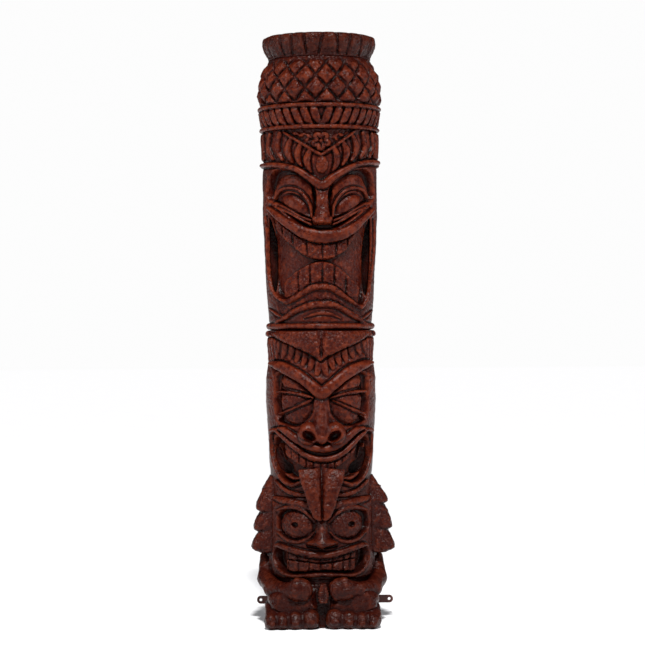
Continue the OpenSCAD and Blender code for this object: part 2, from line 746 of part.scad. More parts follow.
// An outline round the axis of the joint, with every corner moved out by grow both ways.
module offset_outline(points, grow) polygon([
    for (p = points) [p[0] + sign(p[0]) * grow, z_middle + p[1] + sign(p[1]) * grow]
]);

module tongue() color(casting_light) difference() {
    tongue_form();
    translate([-tongue_slit_w / 2, -2 * body_r, z_middle - tongue_drop + 10])
        cube([tongue_slit_w, 2 * body_r - tongue_face_r + tongue_slit_depth, 2 * tongue_drop]);
    for (p = tongue_pins) tongue_pin(p, dowel_fit);
}

module tongue_dowels() color(beech) for (p = tongue_pins) tongue_pin(p, 0);

leaf_w = 40;
leaf_out = 14;
leaf_low = foot_h + 12;
leaf_pin_len = 24;

// The dowel ends inside the leaf.
module leaf_pin(gap)
    translate([0, -body_r - leaf_out + pin_cover, (leaf_low + legs_h) / 2 - 8]) rotate([-90, 0, 0])
    cylinder(r = dowel_r + gap, h = leaf_pin_len, $fn = pin_fn);

module loin_leaf() color(casting_light) difference() {
    intersection() {
        front() polygon([
            [0, leaf_low], [leaf_w / 2, leaf_low + 16], [leaf_w / 2 - 6, legs_h - 16], [0, legs_h - 8],
            [-leaf_w / 2 + 6, legs_h - 16], [-leaf_w / 2, leaf_low + 16]
        ]);
        translate([0, 0, leaf_low - past]) cylinder(r = body_r + leaf_out, h = legs_h, $fn = turned_fn);
    }
    translate([0, 0, leaf_low - 2 * past])
        cylinder(r = leg_r + bond_gap, h = legs_h + 4 * past, $fn = turned_fn);
    for (side = [-1, 1]) thigh_clearance(side);
    leaf_pin(dowel_fit);
}

module leaf_dowel() color(beech) leaf_pin(0);

// ---------------------------------------------------------------- core

module rod_hole(low, height) translate([0, 0, low - past])
    cylinder(r = rod_hole_r, h = height + 2 * past, $fn = rod_fn);

// A plywood disc that straddles a joint.
module locating_disc(joint) color(ply) difference() {
    translate([0, 0, joint - disc_t / 2]) cylinder(r = disc_r, h = disc_t, $fn = turned_fn);
    rod_hole(joint - disc_t / 2, disc_t);
}

module leg_disc() locating_disc(z_head);
module middle_disc() locating_disc(z_middle);
module upper_disc() locating_disc(z_upper);
module hat_disc() locating_disc(z_band);
module crown_disc() locating_disc(z_rim);

rod_low = board_t + 2;
rod_past_nut = 6;
rod_top = z_rim + disc_t / 2 + washer_t + nut_t + rod_past_nut;
flange_r = 46;
flange_t = 6;
flange_hub_h = 22;
flange_screw_at = 32;
flange_screw_len = 24;
screw_head_t = 3;

module base_board() color(ply) difference() {
    cylinder(r = disc_r, h = board_t, $fn = turned_fn);
    for (a = screw_angles) rotate([0, 0, a]) {
        board_screw_hole();
        flange_screw(dowel_fit);
    }
}

// The rod screws into a flange on the base board.
module base_flange() color(steel) difference() {
    translate([0, 0, board_t]) union() {
        cylinder(r = flange_r, h = flange_t, $fn = hub_fn);
        cylinder(r = rod_d, h = flange_hub_h, $fn = hub_fn);
    }
    translate([0, 0, board_t - past])
        cylinder(r = rod_d / 2 + thread_gap, h = flange_hub_h + 2 * past, $fn = rod_fn);
    for (a = screw_angles) rotate([0, 0, a]) flange_screw(dowel_fit);
}

module flange_screw(gap) translate([flange_screw_at, 0, board_t + flange_t - flange_screw_len])
    cylinder(r = screw_r + gap, h = flange_screw_len + gap, $fn = pin_fn);

module flange_screws() color(steel) for (a = screw_angles) rotate([0, 0, a]) {
    flange_screw(0);
    translate([flange_screw_at, 0, board_t + flange_t + dowel_fit])
        cylinder(r = 2 * screw_r, h = screw_head_t, $fn = pin_fn);
}

module tie_rod() color(steel) translate([0, 0, rod_low])
    cylinder(r = rod_d / 2, h = rod_top - rod_low, $fn = rod_fn);

module washer(low) color(steel) translate([0, 0, low]) difference() {
    cylinder(r = washer_r, h = washer_t, $fn = hub_fn);
    translate([0, 0, -past]) cylinder(r = rod_d / 2 + bolt_gap, h = washer_t + 2 * past, $fn = rod_fn);
}

// The nut's bore meets the rod at its thread.
module nut(low) color(steel) translate([0, 0, low]) difference() {
    cylinder(r = nut_af / sqrt(3), h = nut_t, $fn = 6);
    translate([0, 0, -past]) cylinder(r = rod_d / 2 + thread_gap, h = nut_t + 2 * past, $fn = rod_fn);
}

module top_washer() washer(z_rim + disc_t / 2);
module top_nut() nut(z_rim + disc_t / 2 + washer_t);

module top_plate() color(casting) difference() {
    translate([0, 0, z_top - cap_t]) cylinder(r = cap_seat_r, h = cap_t, $fn = turned_fn);
    for (a = screw_angles) rotate([0, 0, a]) top_screw_hole();
}

screw_angles = [45, 135, 225, 315];
screw_len = 30;
screw_sunk = 2; // how deep the top screws' ends are let in
top_screw_at = cavity_r - 2;

// The top plate's screws go in from above, at the plate's edge, into the rim's ledge.
module top_screw_hole() translate([top_screw_at, 0, z_top - cap_t - screw_len / 2])
    cylinder(r = screw_r + dowel_fit, h = cap_t + screw_len, $fn = pin_fn);

module top_plate_screws() color(steel) for (a = screw_angles) rotate([0, 0, a])
    translate([top_screw_at, 0, z_top - screw_len])
        cylinder(r = screw_r, h = screw_len - screw_sunk, $fn = pin_fn);

// The base board's screws go in from the side of the leg tier.
module board_screw_hole() translate([disc_r - 20, 0, board_t / 2]) rotate([0, 90, 0])
    cylinder(r = screw_r + dowel_fit, h = body_r, $fn = pin_fn);

module board_screws() color(steel) for (a = screw_angles) rotate([0, 0, a])
    translate([disc_r - 19, 0, board_t / 2]) rotate([0, 90, 0])
        cylinder(r = screw_r, h = body_r - disc_r + 12, $fn = pin_fn);

// ---------------------------------------------------------------- fixing bar

bar_bolts = [bar_shift - bar_bolt_pitch / 2, bar_shift + bar_bolt_pitch / 2];
bar_hole_x = bar_len / 2 - bar_w / 2;
bolt_head_t = 5;
bolt_grip = 14; // how far a bolt goes into the leg tier

module at_bar(x) translate([x, bar_y + bar_t, bar_z]) rotate([90, 0, 0]) children();

module wall_bar() color(casting) at_bar(bar_shift) difference() {
    linear_extrude(bar_t) union() {
        square([bar_len - bar_w, bar_w], center = true);
        for (side = [-1, 1]) translate([side * bar_hole_x, 0]) circle(r = bar_w / 2, $fn = hub_fn);
    }
    for (side = [-1, 1]) translate([side * bar_hole_x, 0, -past])
        cylinder(r = bar_hole_d / 2, h = bar_t + 2 * past, $fn = rod_fn);
    for (side = [-1, 1]) translate([side * bar_bolt_pitch / 2, 0, -past])
        cylinder(r = bar_bolt_d / 2 + bolt_gap, h = bar_t + 2 * past, $fn = rod_fn);
}

module wall_bar_bolts() color(steel) for (x = bar_bolts) at_bar(x) {
    translate([0, 0, -bolt_head_t]) cylinder(r = 0.85 * bar_bolt_d, h = bolt_head_t, $fn = 6);
    cylinder(r = bar_bolt_d / 2, h = bar_t + bolt_grip, $fn = pin_fn);
}

leaf_rim();
pineapple_shell();
hat_band();
upper_tiki_shell();
middle_tiki_shell();
lower_head_shell();
leg_shell();
tongue();
left_arm();
right_arm();
left_shoulder_scales();
right_shoulder_scales();
left_foot();
right_foot();
loin_leaf();
top_plate();
crown_disc();
hat_disc();
upper_disc();
middle_disc();
leg_disc();
base_board();
base_flange();
flange_screws();
tie_rod();
top_washer();
top_nut();
wall_bar();
wall_bar_bolts();
tongue_dowels();
arm_dowels();
scale_dowels();
foot_dowels();
leaf_dowel();
board_screws();
top_plate_screws();
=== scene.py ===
"""Looks of the stacked tiki figure.

Each carved piece is a signed field on one shared lattice, which OpenVDB turns into a mesh. The
carving of a tier is a height map of its unrolled surface. Outlines are [across, up] in
millimetres, as seen from the front, with up counted from the tier's floor in the CAD model.
"""
import math

import bpy
import numpy as np
import openvdb as vdb
from mathutils import Matrix, Vector


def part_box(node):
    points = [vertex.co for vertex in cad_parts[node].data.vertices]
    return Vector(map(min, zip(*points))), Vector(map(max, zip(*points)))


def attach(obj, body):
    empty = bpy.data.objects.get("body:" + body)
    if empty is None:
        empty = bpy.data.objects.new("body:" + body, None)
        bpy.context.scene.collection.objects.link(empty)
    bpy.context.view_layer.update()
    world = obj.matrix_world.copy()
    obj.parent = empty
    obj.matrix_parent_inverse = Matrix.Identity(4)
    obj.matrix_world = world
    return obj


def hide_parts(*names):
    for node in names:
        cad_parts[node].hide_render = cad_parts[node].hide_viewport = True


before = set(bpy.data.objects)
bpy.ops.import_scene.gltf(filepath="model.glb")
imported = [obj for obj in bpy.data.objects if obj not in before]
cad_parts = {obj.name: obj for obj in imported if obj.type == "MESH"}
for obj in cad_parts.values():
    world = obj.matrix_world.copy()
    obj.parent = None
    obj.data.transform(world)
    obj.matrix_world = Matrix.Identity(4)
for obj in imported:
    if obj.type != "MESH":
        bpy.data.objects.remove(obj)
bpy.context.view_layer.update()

MM = 0.001
STEP = 2.2  # spacing of the lattice
COLUMNS = 720  # columns of a height map, round the tier
FAR = 60.0  # the field is cut off at this distance
MARK_SIZE, MARK_DEPTH = 9.5, 3.6  # the gouge's marks
PLAIN_ROUGH = 0.55  # how strongly a piece without a height map is tool marked
NEAR, AROUND, WIDE = 6.0, 14.0, 36.0  # how far the hollows' stain and painted shade look round a point


def span(node):
    """Lowest and highest level of a CAD node, in millimetres."""
    low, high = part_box(node)
    return low.z / MM, high.z / MM


def corners(node):
    """Lowest and highest corner of a CAD node, in millimetres."""
    low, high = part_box(node)
    return np.array(low) / MM, np.array(high) / MM


BODY_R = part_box("leg_shell")[1].x / MM + 4  # widest radius of the face tiers
GIRTH = 2 * np.pi * BODY_R  # once round them


def degrees_round(angle):
    """Distance round a face tier from its front, for an angle in degrees."""
    return angle / 180 * np.pi * BODY_R


# ---------------- lines and outlines


def smooth(points, steps=6):
    """A Catmull-Rom line through the points."""
    p = np.array(points, float)
    p = np.vstack([2 * p[0] - p[1], p, 2 * p[-1] - p[-2]])
    out = []
    for a, b, c, d in zip(p, p[1:], p[2:], p[3:]):
        for t in np.arange(steps) / steps:
            out.append(0.5 * (2 * b + (c - a) * t + (2 * a - 5 * b + 4 * c - d) * t**2
                              + (3 * b - a - 3 * c + d) * t**3))
    return np.array(out + [p[-2]])


def closed(points, steps=5):
    """A smooth closed outline through the points."""
    ring = smooth(list(points[-2:]) + list(points) + list(points[:2]), steps)
    return ring[2 * steps:-2 * steps]


def mirrored(points):
    """An outline for the other side, in the order that keeps it running the same way."""
    return [[-across, up] for across, up in points][::-1]


BOTH_SIDES = ((1, list), (-1, mirrored))  # a side's sign, and what turns an outline to it


def line_distance(u, v, line, widths=None):
    """Distance to a line, and the line's half width at the nearest point."""
    best = np.full(u.shape, 1e9)
    half = np.ones(u.shape)
    sizes = np.ones(len(line)) if widths is None else widths
    for a, b, wa, wb in zip(line, line[1:], sizes, sizes[1:]):
        step = b - a
        t = np.clip(((u - a[0]) * step[0] + (v - a[1]) * step[1]) / max(step @ step, 1e-6), 0, 1)
        d = np.hypot(u - a[0] - t * step[0], v - a[1] - t * step[1])
        closer = d < best
        best = np.where(closer, d, best)
        half = np.where(closer, wa + (wb - wa) * t, half)
    return best, half


def outline_distance(u, v, outline):
    """Distance to an outline, negative inside it."""
    ring = np.vstack([outline, outline[:1]])
    d, _ = line_distance(u, v, ring)
    inside = np.zeros(u.shape, bool)
    for a, b in zip(ring, ring[1:]):
        if a[1] != b[1]:
            crosses = (a[1] > v) != (b[1] > v)
            inside ^= crosses & (u < (b[0] - a[0]) * (v - a[1]) / (b[1] - a[1]) + a[0])
    return np.where(inside, -d, d)


def ease(low, high, value):
    """0 below low, 1 above high, and smooth between."""
    t = np.clip((value - low) / (high - low), 0, 1)
    return t * t * (3 - 2 * t)


# ---------------- noise


def random_table(seed, count=4096):
    return np.random.default_rng(seed).random(count).astype(np.float32)


def hashed(cell, table):
    h = cell[..., 0] * 73856093 ^ cell[..., 1] * 19349663 ^ cell[..., 2] * 83492791
    return table[h % len(table)]


def value_noise(points, size, seed):
    """Smooth noise from -1 to 1 at points."""
    table = random_table(seed)
    p = points / size
    cell = np.floor(p).astype(np.int64)
    t = p - cell
    t = t * t * (3 - 2 * t)
    total = 0
    for corner in np.ndindex(2, 2, 2):
        weight = np.prod(np.where(corner, t, 1 - t), axis=-1)
        total = total + weight * hashed(cell + corner, table)
    return 2 * total - 1


def tool_marks(points, size, seed):
    """0 in the middle of a gouge mark, rising to 1 at the crests between marks."""
    tables = [random_table(seed + k) for k in range(3)]
    p = points / size
    cell = np.floor(p).astype(np.int64)
    nearest = np.full(len(p), 9.0)
    for offset in np.ndindex(3, 3, 3):
        other = cell + offset - 1
        centre = other + np.stack([hashed(other, t) for t in tables], -1)
        nearest = np.minimum(nearest, ((p - centre) ** 2).sum(-1))
    return np.clip(nearest, 0, 1)


# ---------------- height map of a tier


class Relief:
    """Radius of a tier's surface, by level (rows) and by angle from the front (columns)."""

    def __init__(self, low, high, profile, floor=None, turn=0.0):
        self.low, self.high = low, high
        self.z = np.arange(math.floor(low / STEP) - 2, math.ceil(high / STEP) + 3) * STEP
        self.floor = low if floor is None else floor
        self.turn = math.radians(turn)  # how far the carving is turned to the left
        self.angle = (np.arange(COLUMNS) / COLUMNS - 0.5) * 2 * np.pi
        heights, radii = zip(*profile)
        self.base = np.interp(self.z - self.floor, heights, radii)
        self.u = (self.angle * BODY_R)[None, :] * np.ones((len(self.z), 1))
        self.v = (self.z - self.floor)[:, None] * np.ones((1, COLUMNS))
        self.h = np.zeros_like(self.u)
        self.rough = np.full_like(self.u, 0.35)  # how strongly the surface is tool marked

    @staticmethod
    def wrap(points):
        """Lays a line drawn as seen from the front round the tier."""
        p = np.array(points, float)
        p[:, 0] = BODY_R * np.arcsin(np.clip(p[:, 0] / (BODY_R + 4), -0.995, 0.995))
        return p

    def window(self, points, margin):
        """The part of the map within a margin of the points, which may be none of it."""
        low, high = points.min(0) - margin, points.max(0) + margin
        rows = np.flatnonzero((self.v[:, 0] >= low[1]) & (self.v[:, 0] <= high[1]))
        cols = np.flatnonzero((self.u[0] >= low[0]) & (self.u[0] <= high[0]))
        if not len(rows) or not len(cols):
            return np.s_[:0, :0]
        return np.s_[rows[0]:rows[-1] + 1, cols[0]:cols[-1] + 1]

    def beside(self, line, width, margin, wrap):
        """The part of the map near a line, the distance to it there, and its half width."""
        line = self.wrap(line) if wrap else np.array(line, float)
        along, stops = np.linspace(0, 1, len(line)), np.linspace(0, 1, np.size(width))
        half = np.interp(along, stops, np.ravel(width)) / 2
        part = self.window(line, half.max() + margin)
        return part, *line_distance(self.u[part], self.v[part], line, half)

    def ridge(self, line, width, height, level=0.0, sink=2.5, wrap=True, rough=None):
        """A rounded ridge at a level, with a narrow cut along both sides. Width may vary along it."""
        part, d, half = self.beside(line, width, 12, wrap)
        q = np.clip(d / half, 0, 1)
        crest = level + height * np.sqrt(1 - q * q)
        cut = sink * np.exp(-((d - half - 1.5) / 3.0) ** 2)
        h = self.h[part]
        self.h[part] = np.where(q < 1, np.maximum(h, crest), h - cut)
        if rough is not None:
            self.rough[part] = np.where(q < 1, rough, self.rough[part])

    def groove(self, line, width, depth, wrap=True):
        """A rounded groove along a line."""
        part, d, half = self.beside(line, width, 2, wrap)
        self.h[part] -= depth * np.clip(1 - (d / half) ** 2, 0, 1)

    def level(self, outline, level, edge=5.0, rough=None, only_raise=False):
        """Brings the surface inside an outline to a level, with a wall that is edge wide."""
        outline = self.wrap(outline)
        part = self.window(outline, edge + 2)
        inside = ease(0, 1, 0.5 - outline_distance(self.u[part], self.v[part], outline) / edge)
        h = self.h[part]
        goal = np.maximum(h, level) if only_raise else level
        self.h[part] = h * (1 - inside) + goal * inside
        if rough is not None:
            self.rough[part] = self.rough[part] * (1 - inside) + rough * inside

    def dome(self, centre, radii, level, height, turn=0.0, power=0.5, rough=None):
        """A rounded swelling, turned by an angle in degrees."""
        c = self.wrap([centre])[0]
        part = self.window(c[None], max(radii))
        s, k = math.sin(math.radians(turn)), math.cos(math.radians(turn))
        du, dv = self.u[part] - c[0], self.v[part] - c[1]
        q = ((du * k + dv * s) / radii[0]) ** 2 + ((dv * k - du * s) / radii[1]) ** 2
        top = level + height * np.clip(1 - q, 0, 1) ** power
        h = self.h[part]
        self.h[part] = np.where(q < 1, np.maximum(h, top), h)
        if rough is not None:
            self.rough[part] = np.where(q < 1, rough, self.rough[part])

    def teeth(self, top, bottom, edges, level, bulge=1.6, gap=2.4, rough=1.0):
        """A row of teeth between two lines, parted at the edges' places across."""
        top, bottom = self.wrap(top), self.wrap(bottom)
        part = self.window(np.vstack([top, bottom]), 3)
        u, v = self.u[part], self.v[part]
        high = np.interp(u[0], top[:, 0], top[:, 1])[None, :]
        low = np.interp(u[0], bottom[:, 0], bottom[:, 1])[None, :]
        cuts = self.wrap([[e, 0] for e in edges])[:, 0]
        gap_d = np.abs(u[:, :, None] - cuts).min(-1)
        middle = np.clip(gap_d / 16, 0, 1)
        inside = ease(0, 1, 0.5 - np.maximum(low - v, v - high) / 4)
        inside *= (u > max(top[0, 0], bottom[0, 0])) & (u < min(top[-1, 0], bottom[-1, 0]))
        face = level + bulge * (1 - (1 - middle) ** 2) - 5.5 * np.exp(-(gap_d / gap) ** 2)
        face = face - 2.0 * np.exp(-((v - low) / 4.0) ** 2)
        h = self.h[part]
        self.h[part] = h * (1 - inside) + np.maximum(face, h) * inside
        self.rough[part] = self.rough[part] * (1 - inside) + rough * inside


def bead(relief, up, radius, height):
    """A round bead all the way round a tier."""
    d = np.abs(relief.v - up)
    q = np.clip(d / radius, 0, 1)
    h = relief.h - 2.5 * np.exp(-((d - radius - 1.5) / 3) ** 2)
    relief.h = np.where(q < 1, np.maximum(relief.h, height * np.sqrt(1 - q * q)), h)


def flutes(relief, low, high, depth, edge=1.9, pitch=34, seed=5):
    """Long shallow gouge strokes down the back, from an angle off the front."""
    count = round(GIRTH / pitch)
    wobble = value_noise(np.stack([relief.u, relief.v * 0.4, 0 * relief.u], -1).reshape(-1, 3), 70, seed)
    phase = relief.angle[None, :] / (2 * np.pi) * count + 0.35 * wobble.reshape(relief.u.shape)
    cup = np.abs(phase - np.floor(phase) - 0.5) * 2
    here = ease(edge - 0.25, edge + 0.1, np.abs(relief.angle))[None, :]
    here = here * ease(low, low + 14, relief.v) * (1 - ease(high - 14, high, relief.v))
    relief.h -= depth * here * (1 - cup**2)
    relief.rough = np.where(here > 0.5, 0.5, relief.rough)


# ---------------- fields on the lattice


def blend_min(a, b, soft):
    """The union of two fields, with a fillet about soft wide."""
    near = np.clip(1 - np.abs(a - b) / soft, 0, 1)
    return np.minimum(a, b) - near * near * soft / 4


def hollow(block, outline, back):
    """Cuts an opening with this outline straight in from the front, as far as y = back."""
    outline = closed(outline, 3)
    low, high = outline.min(0) - 8, outline.max(0) + 8
    box = (low[0], -260, low[1]), (high[0], back + 8, high[1])
    _, x, y, z = block.cells(*box)
    inside = outline_distance(x[:, 0] + 0 * z[0], z[0] + 0 * x[:, 0], outline)[:, None, :]
    block.cut(lambda x, y, z: np.maximum(inside, y - back), *box, soft=4)


class Block:
    """A box of the shared lattice with a field that is negative inside the piece."""

    def __init__(self, low, high):
        self.first = np.floor(np.array(low) / STEP).astype(int) - 2
        self.count = np.ceil(np.array(high) / STEP).astype(int) + 3 - self.first
        self.axes = [((f + np.arange(n)) * STEP).astype(np.float32) for f, n in zip(self.first, self.count)]
        self.field = np.full(self.count, FAR, np.float32)

    def cells(self, low=None, high=None):
        """Slices of the lattice within a box, and the coordinates there."""
        if low is None:
            part = (slice(None),) * 3
        else:
            part = tuple(slice(*np.searchsorted(a, [lo, hi])) for a, lo, hi in zip(self.axes, low, high))
        x, y, z = (a[s] for a, s in zip(self.axes, part))
        return part, x[:, None, None], y[None, :, None], z[None, None, :]

    def add(self, shape, low=None, high=None, soft=6.0):
        part, x, y, z = self.cells(low, high)
        self.field[part] = blend_min(self.field[part], shape(x, y, z), soft)

    def cut(self, shape, low=None, high=None, soft=4.0):
        part, x, y, z = self.cells(low, high)
        self.field[part] = -blend_min(-self.field[part], shape(x, y, z), soft)

    def mesh(self):
        grid = vdb.FloatGrid(background=FAR)
        grid.copyFromArray(np.ascontiguousarray(np.clip(self.field, -FAR, FAR)))
        points, triangles, quads = grid.convertToPolygons(isovalue=0.0, adaptivity=0.0)
        return (points + self.first) * STEP, triangles, quads


def ellipsoid(centre, radii, lean=0.0):
    """An ellipsoid, leaning sideways by an angle in degrees."""
    cx, cy, cz = centre
    rx, ry, rz = radii
    s, k = math.sin(math.radians(lean)), math.cos(math.radians(lean))

    def shape(x, y, z):
        a, c = (x - cx) * k + (z - cz) * s, (z - cz) * k - (x - cx) * s
        q = np.sqrt((a / rx) ** 2 + ((y - cy) / ry) ** 2 + (c / rz) ** 2)
        return (q - 1) * min(radii)

    return shape


def limb(start, end, r_start, r_end):
    """A round limb between two points, with its own radius at each end."""
    p, step = np.array(start, float), np.array(end, float) - start

    def shape(x, y, z):
        t = ((x - p[0]) * step[0] + (y - p[1]) * step[1] + (z - p[2]) * step[2]) / (step @ step)
        t = np.clip(t, 0, 1)
        d = (x - p[0] - t * step[0]) ** 2 + (y - p[1] - t * step[1]) ** 2 + (z - p[2] - t * step[2]) ** 2
        return np.sqrt(d) - (r_start + (r_end - r_start) * t)

    return shape


def turned(relief):
    """The block of a tier, from its height map."""
    surface = relief.base[:, None] + relief.h
    reach = min(250, surface.max() + 8)
    block = Block((-reach, -reach, relief.low), (reach, reach, relief.high))
    _, x, y, z = block.cells()
    r = np.hypot(x, y)[:, :, 0]
    column = ((np.arctan2(x, -y)[:, :, 0] + relief.turn) / (2 * np.pi) + 0.5) * COLUMNS
    left = np.floor(column).astype(int)
    t = (column - left).astype(np.float32)
    rows = np.searchsorted(relief.z, block.axes[2] - STEP / 2)
    s = surface[rows].astype(np.float32)
    around = s[:, left % COLUMNS] * (1 - t) + s[:, (left + 1) % COLUMNS] * t
    block.field = np.clip(r[None] - around, -FAR, FAR).transpose(1, 2, 0).copy()
    block.relief = relief
    block.cut(lambda x, y, z: np.minimum(z - relief.low, relief.high - z) + 0 * x + 0 * y, soft=2.5)
    return block


# ---------------- crown


def leaf_rim():
    low, high = span("leaf_rim")
    tall = high - low
    relief = Relief(low, high, [(0, 160), (8, 160), (16, 164), (28, 170), (40, 174), (54, 176),
                                (tall - 8, 175), (tall - 3, 171), (tall, 164)])
    relief.rough[:] = 0.7
    pick = np.random.default_rng(11)
    count = 22
    edges = (np.arange(count) + pick.uniform(-0.2, 0.2, count)) / count * 2 * np.pi - np.pi
    lean = np.where(np.arange(count) % 2, 1, -1) * pick.uniform(3, 9, count)
    width = GIRTH / count
    for k, (angle, shift) in enumerate(zip(edges, lean)):
        u = angle * BODY_R
        across = np.abs(relief.u - u - width / 2) / (width / 2)
        leaf = (2.2 if k % 2 else 0.4) - 2.6 * across**2.5
        relief.h += np.where(across < 1, leaf * ease(0, 14, relief.v), 0)
        line = [[u - shift, 7], [u - shift * 0.2, tall / 2], [u + shift, tall + 4]]
        relief.groove(line, [9, 13, 14], 6, wrap=False)
    block = turned(relief)
    block.cut(lambda x, y, z: np.maximum(np.hypot(x, y) - 151.0, high - 12 - z), soft=4)
    return block


def pineapple():
    low, high = span("pineapple_shell")
    low = span("hat_band")[1]
    relief = Relief(low, high, [(0, 182), (6, 186), (23, 189), (42, 190), (61, 189), (80, 186), (99, 180),
                                (118, 171), (134, 162), (146, 159)])
    relief.rough[:] = 0.8
    around, row = 17, 38.0
    turn, up = relief.angle[None, :] / (2 * np.pi) * around, (relief.v - 0.05 * relief.u) / (2 * row)
    spread = np.stack([np.sin(relief.angle) * 180 + 0 * relief.v, np.cos(relief.angle) * 180 + 0 * relief.v,
                       relief.v], -1).reshape(-1, 3)
    wave = 0.09 * value_noise(spread, 70, 21).reshape(relief.u.shape)
    p, q = turn + up + wave + 0.12, turn - up - wave + 0.40
    to_p, to_q = (0.5 - np.abs(c - np.floor(c) - 0.5) for c in (p, q))
    d = np.minimum(to_p, to_q) / math.hypot(around / GIRTH, 1 / (2 * row))
    swell = 13 * np.clip(4 * to_p * to_q, 0, 1) ** 0.5
    scale = -10 + 5 * ease(1.0, 7.0, d) + swell
    relief.h += scale * ease(0, 10, relief.v) * (1 - ease(124, 142, relief.v))
    return turned(relief)


def slanted_ribs(relief, low, high, count, width, height, lean, level=0.0):
    """Curved ribs that lean in towards the front's centre line, mirrored about it."""
    pitch = GIRTH / count
    for k in range(count // 2):
        u = (k + 0.62) * pitch
        for side in (-1, 1):
            t = np.linspace(0, 1, 6)
            across = u + lean * (0.25 - (1 - t) ** 2)
            line = np.stack([side * across, low + (high - low) * t], 1)
            relief.ridge(line, [width * 0.5, width, width, width * 0.8], height, level, sink=3.0, wrap=False)


def hat_band():
    low, high = span("hat_band")
    tall = high - low
    relief = Relief(low, high, [(0, 181), (12, 181), (20, 181), (60, 187), (tall, 186)])
    relief.rough[:] = 0.7
    relief.h[(relief.v > 15) & (relief.v < 66)] -= 4
    slanted_ribs(relief, 15, 66, 38, 26, 5, 22, level=-1)
    bead(relief, 6.5, 6.5, 7)
    bead(relief, tall - 7, 6.5, 7)
    return turned(relief)


# ---------------- upper figure

UPPER_BROW = [[-189, 514], [-150, 511], [-122, 506], [-96, 499], [-70, 488], [-36, 464], [0, 444],
              [34, 468], [71, 491], [96, 503], [117, 511], [150, 518], [189, 522]]
UPPER_VEE = [[-118, 608], [-58, 569], [-24, 547], [-2, 537], [25, 553], [59, 577], [104, 610]]
UPPER_LIP = [[-163, 378], [-152, 367], [-138, 352], [-108, 328], [-66, 302], [-30, 290], [0, 286], [34, 288],
             [68, 296], [104, 317], [134, 344], [150, 361], [160, 372]]
UPPER_MOUTH = [[-160, 366], [-138, 340], [-108, 314], [-66, 286], [0, 270], [68, 280], [104, 302],
               [134, 329], [152, 352], [162, 300], [161, 231], [154, 140], [146, 98], [134, 80], [106, 92],
               [70, 114], [35, 134], [0, 140], [-35, 137], [-70, 120], [-116, 96], [-140, 99], [-158, 132],
               [-166, 195], [-164, 294]]
UPPER_JAW = [[-172, 352], [-170, 294], [-172, 195], [-165, 132], [-144, 96], [-116, 88], [-70, 111],
             [-35, 129], [0, 133], [35, 126], [70, 104], [106, 81], [134, 70], [152, 95], [160, 140],
             [167, 231], [168, 300], [166, 340]]


def upper_flower(relief):
    """The flower in the hat's panel: petals as raised rings round a button, and leaves beside it."""
    centre = (-3, 578)
    for k in range(5):
        a = math.radians(90 + 36 + 72 * k)
        petal = (centre[0] + 19 * math.cos(a), centre[1] + 19 * math.sin(a))
        relief.dome(petal, (14, 13), -6, 8, power=0.35)
        turns = np.linspace(0, 2 * np.pi, 12)
        ring = [[petal[0] + 6.5 * math.cos(b), petal[1] + 6.5 * math.sin(b)] for b in turns]
        relief.dome(petal, (5, 5), -8, 0)
        relief.groove(ring, 3, 1.5)
        relief.groove([centre, petal], 6, 6)
    relief.dome(centre, (6, 6), -2, 5)
    for side in (-1, 1):
        for across, up, turn in ((40, 594, 25), (62, 598, -15), (50, 580, -50), (84, 603, 10)):
            relief.dome((side * across, up), (13, 6), -7, 5, turn=side * turn)
            relief.groove([[side * (across - 9), up - 2], [side * (across + 9), up + 2]], 3, 2)


def upper_hat(relief):
    relief.level([[-189, 700], [-189, 530], [-122, 520], [-70, 500], [0, 462], [70, 500], [122, 520],
                  [189, 536], [189, 700]], -4, edge=6, rough=0.6)
    brow = np.array(UPPER_BROW)
    vee = np.array(UPPER_VEE)
    pitch = 29.0
    for side in (-1, 1):
        for k in range(7):
            foot = side * (37 + pitch * k)
            low = np.interp(foot, brow[:, 0], brow[:, 1]) + 17
            if k < 6:
                top_at = foot + side * (2 if k < 3 else 6)
                high = min(np.interp(top_at, vee[:, 0], vee[:, 1]) - 8, 604) if abs(top_at) < 104 else 606
                bow = side * min(13, (high - low) * 0.16)
                line = smooth([[foot - side * 2, low], [foot + bow * 0.9, low + (high - low) * 0.35],
                               [foot + bow, low + (high - low) * 0.65], [top_at, high]])
                relief.ridge(line, [10, 22, 23, 15], 9, -4, sink=4)
    relief.dome((-1, 506), (19, 29), -4, 11, power=0.4, rough=0.8)
    relief.level(UPPER_VEE + [[112, 640], [-124, 640]], -9, edge=4, rough=1.0)
    upper_flower(relief)
    relief.ridge(UPPER_VEE, 9, 8, -3)
    last = 29
    for k in range(last + 1):
        u = degrees_round(68 + 7.6 * k)
        for start, lean in ((u, 3), (u - GIRTH, -3))[:1 if k == last else 2]:
            relief.ridge([[start, 536], [start + lean, 570], [start, 606]], 17, 8, -4, sink=5, wrap=False)


